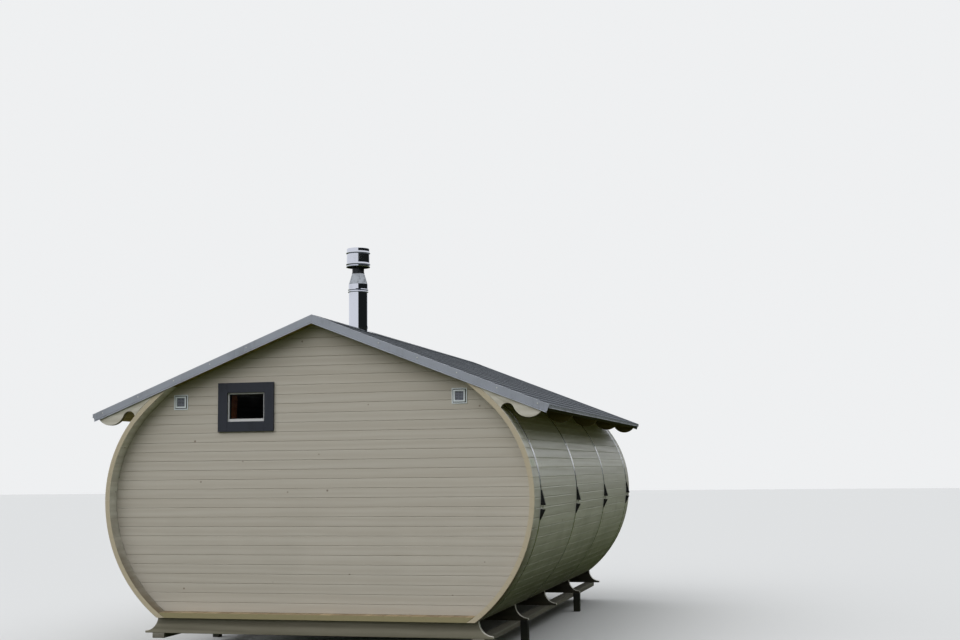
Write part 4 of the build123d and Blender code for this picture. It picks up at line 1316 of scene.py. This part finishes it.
def tensioners():
    """Rounded brackets with cheeks, and the rods with their nuts."""
    cheeks = []
    for end, base in ((1, UPPER_BASE), (-1, LOWER_BASE)):
        pattern = cheek_pattern(base)
        middle = -TENSIONER_DROP + end * (TENSIONER_GAP + base) / 2
        point, turn = outline_at(middle, -BAND_FIT - BAND_THICKNESS - BAND_FIT)
        stand = Matrix.Rotation(-turn, 4, "Y") @ Matrix.Scale(end, 4, (0, 0, 1))
        frame_in = stand @ Matrix.Translation((0, 0, -base / 2))
        for hoop in HOOP_PLACES:
            for edge in (-1, 1):
                offset = edge * (BAND_WIDTH - CHEEK) / 2
                place = Matrix.Translation((point.x, hoop + offset, point.z)) @ frame_in
                cheeks.append(copy_at(pattern, place, "cheek"))
                cheeks.append(copy_at(pattern, MIRROR_X @ place, "cheek"))
        discard(pattern)
    folded = softened("tensioner_brackets", "tensioner_plates", FOLDED_EDGE, angle=40)
    hand_over(joined([folded] + cheeks, "tensioner_plates"), BLACK_STEEL, "hoop_steel", "tensioner_brackets")
    rods = softened("tensioner_rods", "tensioner_screws", NUT_EDGE, angle=40)
    hand_over(rods, ROD_STEEL, "hoop_steel", "tensioner_rods")


tensioners()

# %% [markdown]
# ## Chimney
# The stove pipe is turned sheet metal: an insulated pipe, a locking band, a cone, and a cap with two beads
# and a flat lid. Each is made like work on a lathe. A circle is extruded and scaled from one point of the
# profile to the next, and a profile that ends where it began gives a wall with two sides. A profile is
# written as steps out from a radius and up from a height.

# %% Turning helper
PIPE_SIDES = 64


def turned(name, profile):
    """A body of revolution on the chimney's axis from pairs of radius and height."""
    radius, height = profile[0]
    bpy.ops.object.select_all(action="DESELECT")
    spot = (FLUE_PLACE.x, FLUE_PLACE.y, height)
    bpy.ops.mesh.primitive_circle_add(vertices=PIPE_SIDES, radius=radius, location=spot)
    piece = settle(bpy.context.object)
    piece.name = name
    pick_all(piece)
    for next_radius, next_height in profile[1:]:
        bpy.ops.mesh.extrude_region_move(TRANSFORM_OT_translate={"value": (0, 0, next_height - height)})
        share = next_radius / radius
        centre = (FLUE_PLACE.x, FLUE_PLACE.y, next_height)
        bpy.ops.transform.resize(value=(share, share, 1), center_override=centre)
        radius, height = next_radius, next_height
    bpy.ops.mesh.select_all(action="SELECT")
    bpy.ops.mesh.remove_doubles(threshold=0.00005)
    bpy.ops.mesh.normals_make_consistent(inside=False)
    leave()
    return smooth(piece, angle=12)


def stepped(radius, height, steps):
    """Profile points from pairs of a step out and a step up."""
    return [(radius + out, height + up) for out, up in steps]


# %% Pipe, locking band and cone
SHEET = 0.002
PIPE_BORE = 0.060
NECK_RADIUS = 0.058
CONE_RISE = 0.108
PIPE_RIM = 0.001
BAND_FIT_IN = 0.0003
BAND_STEPS = ((-0.003, 0), (0, 0.006), (-0.005, 0.014), (-0.005, 0.018), (0, 0.026), (-0.006, 0.033))
NECK_STEPS = ((0.003, -0.004), (0.003, 0.004), (0, 0.007))
SOOT_AND_SHADE_START = 0.003


def closed_sheet(outside):
    """A profile with a second side one sheet further in, back to its first point."""
    inside = [(radius - SHEET, height) for radius, height in reversed(outside)]
    return outside + inside + outside[:1]


def pipe_and_cone():
    """The insulated pipe, the band that locks its joint, and the cone, its neck darkened for soot and
    painted shade.
    """
    low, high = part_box("chimney_pipe")
    outer = (high.x - low.x) / 2
    profile = [(outer, low.z), (outer, high.z - PIPE_RIM), (outer - PIPE_RIM, high.z), (PIPE_BORE, high.z),
               (PIPE_BORE, low.z), (outer, low.z)]
    hand_over(turned("flue_pipe", profile), PIPE_STEEL, "chimney_steel", "chimney_pipe")

    low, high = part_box("chimney_collar")
    ring = (high.x - low.x) / 2
    inner = outer + BAND_FIT_IN
    outside = stepped(ring, low.z, BAND_STEPS)
    profile = [(inner, low.z)] + outside + [(outside[-1][0], high.z), (inner, high.z), (inner, low.z)]
    hand_over(turned("locking_band", profile), PIPE_STEEL, "chimney_steel", "chimney_collar")

    low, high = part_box("chimney_cone")
    top = low.z + CONE_RISE
    outside = [(outer, low.z)] + stepped(NECK_RADIUS, top, NECK_STEPS) + [(NECK_RADIUS, high.z)]
    cone = hand_over(turned("flue_cone", closed_sheet(outside)), CONE_STEEL, "chimney_steel", "chimney_cone")
    # The neck under the cap is darkened: soot and painted shade.
    second_finish(cone, SOOT_AND_SHADE_STEEL, lambda middle, normal: middle.z > top - SOOT_AND_SHADE_START)


pipe_and_cone()

# %% Cap with its beads and lid
BEAD_PROUD = 0.007
BEAD_PLACES = (0.028, 0.140)
BEAD_STEPS = ((0, -0.011), (0.006, -0.003), (0.007, 0), (0.005, 0.004), (0.001, 0.015))
LIP_STEPS = ((0.005, 0), (0.006, 0.005), (0, 0.012))
LID_ROUND = 0.003
LID_HEIGHT = 0.014
FIN_DROP = 0.020
FIN_HEIGHT = 0.080
FIN_COUNT = 3
NEARLY_ZERO = 0.00002


def rain_cap():
    """The drum with two beads and a rolled lower lip, its lid, and the fins that hold it on the neck."""
    low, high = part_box("chimney_cap")
    drum = (high.x - low.x) / 2 - BEAD_PROUD
    outside = stepped(drum, low.z, LIP_STEPS)
    for place in BEAD_PLACES:
        outside += stepped(drum, low.z + place, BEAD_STEPS)
    outside += [(drum, high.z - LID_ROUND), (drum - LID_ROUND, high.z), (NEARLY_ZERO, high.z)]
    under = [(NEARLY_ZERO, high.z - LID_HEIGHT), (drum - SHEET, high.z - LID_HEIGHT), (drum - SHEET, low.z)]
    pieces = [turned("rain_cap", outside + under + outside[:1])]
    fin_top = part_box("chimney_cone")[1].z - FIN_DROP
    fin_low = (NECK_RADIUS, -SHEET / 2, fin_top - FIN_HEIGHT)
    fin = box_between("fin", fin_low, (drum - SHEET, SHEET / 2, fin_top))
    for number in range(FIN_COUNT):
        turn = Matrix.Rotation(number * 2 * pi / FIN_COUNT, 4, "Z")
        pieces.append(copy_at(fin, Matrix.Translation((FLUE_PLACE.x, FLUE_PLACE.y, 0)) @ turn, "fin"))
    discard(fin)
    cap = hand_over(joined(pieces, "rain_cap"), PIPE_STEEL, "chimney_steel", "chimney_cap")
    inner = drum - SHEET / 2
    # Inside the cap the faces are darkened: soot and painted shade.
    second_finish(cap, SOOT_AND_SHADE_STEEL, lambda middle, normal: middle.z < high.z - SHEET
                  and (middle - FLUE_PLACE).xy.length < inner)


rain_cap()
refinish(nodes["chimney_boot"], PIPE_STEEL)

# %% [markdown]
# ## Window
# A dark painted casing of four boards lies on the wall around the small window. Inside it a thin pale frame
# with a rubber gasket holds the pane, and brown boards line the hole behind. A frame of four bars is wanted
# four times, so one helper makes it: boxes with butt joints and rounded edges.

# %% Window
FRAME_DEPTH = 0.040
FRAME_BAR = 0.023
FRAME_FOOT = 0.034
GASKET_BAR = 0.005
GASKET_SETBACK = 0.006
LINING_BOARD = 0.018
CASING_BAND = 0.091
BUTT_GAP = 0.0002
BAR_EDGE = 0.0015
GASKET_EDGE = 0.001
PANE_TINT = paint(220, 222, 220)
PANE_BENDING = 1.45
HAZE_SPAN = (0.4, 0.8, 0.01, 0.06)


def bar_frame(name, low, high, band, foot, round_by):
    """Four bars around an opening: two sides of full height, with a head and a foot between them."""
    bars = [box_between(name, low, (low[0] + band, high[1], high[2])),
            box_between(name, (high[0] - band, low[1], low[2]), high)]
    inner_left, inner_right = low[0] + band + BUTT_GAP, high[0] - band - BUTT_GAP
    bars.append(box_between(name, (inner_left, low[1], low[2]), (inner_right, high[1], low[2] + foot)))
    bars.append(box_between(name, (inner_left, low[1], high[2] - band), (inner_right, high[1], high[2])))
    for number, bar in enumerate(bars):
        mark_boards(bar, lambda middle: number, seed=41)
    return smooth(rounded(joined(bars, name), round_by))


def glass_finish():
    """A clear pane with a faint haze."""
    material, tree, shader = new_finish("window_pane")
    shader.inputs["Base Color"].default_value = PANE_TINT
    shader.inputs["Transmission Weight"].default_value = 1.0
    shader.inputs["IOR"].default_value = PANE_BENDING
    place = add(tree, "TexCoord").outputs["Object"]
    haze = add(tree, "TexNoise", {"Vector": place, "Scale": 14, "Detail": 4}).outputs[0]
    tree.links.new(graded(tree, haze, *HAZE_SPAN), shader.inputs["Roughness"])
    return material


def window():
    """The casing, the frame, the lining and the pane."""
    low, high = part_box("window_casing")
    casing = bar_frame("casing_boards", low, high, CASING_BAND, CASING_BAND, BAR_EDGE)
    hand_over(casing, CASING_PAINT, "casing_wood", "window_casing")
    low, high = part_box("window_frame")
    front_high = (high.x, low.y + FRAME_DEPTH, high.z)
    front = bar_frame("window_bars", low, front_high, FRAME_BAR, FRAME_FOOT, BAR_EDGE)
    hand_over(front, FRAME_PLASTIC, "frame_wood", "window_frame")
    inner_low = (low.x + FRAME_BAR, low.y + GASKET_SETBACK, low.z + FRAME_FOOT)
    inner_high = (high.x - FRAME_BAR, low.y + FRAME_DEPTH, high.z - FRAME_BAR)
    gasket = bar_frame("window_gasket", inner_low, inner_high, GASKET_BAR, GASKET_BAR, GASKET_EDGE)
    hand_over(gasket, GASKET_AND_CHANNEL_DARK, "frame_wood")
    back_low = (low.x, low.y + FRAME_DEPTH, low.z)
    lining = bar_frame("window_lining", back_low, high, LINING_BOARD, LINING_BOARD, BAR_EDGE)
    hand_over(lining, LINING_TIMBER, "frame_wood")
    refinish(nodes["window_glass"], glass_finish())


window()

# %% [markdown]
# ## Vents
# Two square vents sit high on the rear wall. Seen close, such a vent is a thin flange with a dark channel,
# a raised ring and a grille of slats behind thin bars. Insetting the front face of a flat box and moving it
# in or out, again and again, gives all of those steps in one mesh.

# %% Vents
VENT_SIZE = 0.138
VENT_FRONT = 0.006
VENT_STEPS = ((0.010, 0.003), (0.006, -0.009), (0.014, 0.0115))
CHANNEL_REACH = 0.004
RING_SIDE_REACH = 0.056
SIDE_FACE = 0.5
FLANGE_EDGE = 0.0012
SLAT_COUNT = 6
SLAT_HALF = 0.32
SLAT_FRONT, SLAT_BACK = -0.001, 0.0005
SLAT_TURN = radians(-38)
SLAT_EDGE = 0.0003
SLAT_PLACE = 0.003
GRILLE_BAR = 0.003
GRILLE_FRONT = 0.008
GRILLE_BACK = 0.006


def vent_pattern():
    """The stepped flange with its front towards -Y and its back on Y 0."""
    half = VENT_SIZE / 2
    vent = box_between("vent", (-half, -VENT_FRONT, -half), (half, 0, half))
    pick(vent, "FACE", lambda middle, normal: normal.y < -FACING)
    for band, depth in VENT_STEPS:
        bpy.ops.mesh.inset(thickness=band)
        bpy.ops.mesh.extrude_region_move(TRANSFORM_OT_translate={"value": (0, depth, 0)})
    leave()
    return rounded(vent, FLANGE_EDGE)


def slat_pattern(width, pitch):
    """One slanted slat."""
    reach = pitch * SLAT_HALF
    slat = box_between("slat", (-width / 2, SLAT_FRONT, -reach), (width / 2, SLAT_BACK, reach))
    slat.rotation_euler = (SLAT_TURN, 0, 0)
    return rounded(settle(slat), SLAT_EDGE, segments=1)


def faces_out(middle, normal, low, high):
    """Whether a face is part of the raised ring's outer side."""
    half = VENT_SIZE / 2
    nearer = low.x + half if abs(middle.x - low.x) < VENT_SIZE else high.x - half
    across, rise = middle.x - nearer, middle.z - (low.z + high.z) / 2
    outward = across * normal.x + rise * normal.z > 0
    return outward and abs(normal.y) < SIDE_FACE and max(abs(across), abs(rise)) < RING_SIDE_REACH


def vents():
    """Both vents with their slats and bars."""
    vent = vent_pattern()
    opening = VENT_SIZE - 2 * sum(band for band, depth in VENT_STEPS)
    pitch = opening / SLAT_COUNT
    slat = slat_pattern(opening, pitch)
    half = opening / 2
    bar = box_between("bar", (-GRILLE_BAR / 2, -GRILLE_FRONT, -half), (GRILLE_BAR / 2, -GRILLE_BACK, half))
    low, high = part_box("vent_frames")
    face = high.y
    height = (low.z + high.z) / 2
    frames, slats = [], []
    for x in (low.x + VENT_SIZE / 2, high.x - VENT_SIZE / 2):
        frames.append(copy_at(vent, Matrix.Translation((x, face, height)), "vent"))
        for number in range(SLAT_COUNT):
            rise = (number + 0.5) * pitch - opening / 2
            slats.append(copy_at(slat, Matrix.Translation((x, face - SLAT_PLACE, height + rise)), "slat"))
            slats.append(copy_at(bar, Matrix.Translation((x + rise, face, height)), "bar"))
    for pattern in (vent, slat, bar):
        discard(pattern)
    flanges = hand_over(joined(frames, "vent_flanges"), VENT_PLASTIC, "vent_plastic", "vent_frames")
    # The floor of the channel and of the grille's recess gets a near-black colour.
    second_finish(flanges, GASKET_AND_CHANNEL_DARK, lambda middle, normal: normal.y < -FACING
                  and middle.y > face - CHANNEL_REACH)
    # The raised ring's outer sides get a dark colour, a painted shade.
    second_finish(flanges, VENT_RING_PAINTED_SHADE, lambda middle, normal: faces_out(middle, normal, low, high))
    hand_over(joined(slats, "vent_slats"), GRILLE_PLASTIC, "grille_plastic", "vent_grilles")


vents()

# %% [markdown]
# ## Door
# The front end isn't in the photograph, so its door is a plain one for such a cabin: upright boards, strap
# hinges and a pull bar. The field of boards serves once more, turned upright and cut to the leaf.

# %% Door
LEAF_COVER = 0.0993
STRAP_EDGE = 0.0015
PULL_EDGE = 0.002
BOLT_RADIUS, BOLT_HEIGHT = 0.008, 0.004
BOLT_INSET = 0.02
BOLT_SHARES = (0.1, 0.3, 0.5, 0.7, 0.92)


def door():
    """The boarded leaf, its frame, its hinges with bolts, and the handle."""
    low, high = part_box("door_leaf")
    count = ceil((high.x - low.x) / LEAF_COVER)
    field = board_field("leaf_field", high.z - low.z + END_OVERRUN, LEAF_COVER, high.y - low.y, count)
    lay = axes((low.x, high.y, (low.z + high.z) / 2), (0, 0, 1), (0, -1, 0), (1, 0, 0))
    leaf = boards_in("door_leaf", "door_boards", field, lay, LEAF_COVER, seed=51)
    discard(field)
    hand_over(leaf, DOOR_TIMBER, "wall_wood", "door_leaf")
    surround = softened("door_frame", "door_jambs", SANDED_EDGE)
    mark_boards(surround, lambda place: int(place.x * 4), seed=52)
    hand_over(surround, DOOR_TIMBER, "frame_wood", "door_frame")
    straps = softened("door_hinges", "door_straps", STRAP_EDGE)
    low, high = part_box("door_hinges")
    bolt = screw_head("bolt", BOLT_RADIUS, BOLT_HEIGHT)
    bolts = []
    for z in (low.z + BOLT_INSET, high.z - BOLT_INSET):
        for share in BOLT_SHARES:
            place = Matrix.Translation((low.x + share * (high.x - low.x), high.y, z))
            bolts.append(copy_at(bolt, place @ Matrix.Rotation(-pi / 2, 4, "X"), "bolt"))
    discard(bolt)
    hand_over(joined([straps] + bolts, "door_straps"), BLACK_STEEL, "hardware", "door_hinges")
    pull = softened("door_handle", "door_pull", PULL_EDGE, angle=40)
    hand_over(pull, BLACK_STEEL, "hardware", "door_handle")


door()

# %% [markdown]
# ## Plate
# A small pale plate sits on the barrel near the rear rim. It stays bare: a thin box with rounded corners,
# laid on the face of its stave.

# %% Plate
PLATE_SIZE = (0.0008, 0.16, 0.060)
PLATE_REACH = 0.29
PLATE_FROM_RIM = 0.095
PLATE_CORNER = 0.006


def plate():
    """The bare plate, turned to the slant of its stave."""
    half = [size / 2 for size in PLATE_SIZE]
    piece = box_between("bare_plate", [-part for part in half], half)
    pick(piece, "EDGE", lambda a, b: abs(a.x - b.x) > half[0])
    bevel_picked(PLATE_CORNER, segments=3)
    number = int((PLATE_REACH - FIRST_JOINT) / STAVE_COVER)
    middle, lean = stave_face(FIRST_JOINT + number * STAVE_COVER)
    middle += half[0] * Vector((cos(lean), 0, sin(lean)))
    spot = Matrix.Translation((middle.x, REAR_Y + PLATE_FROM_RIM, middle.z))
    piece.data.transform(spot @ Matrix.Rotation(-lean, 4, "Y"))
    hand_over(piece, PLATE_PLASTIC, "frame_wood")


plate()
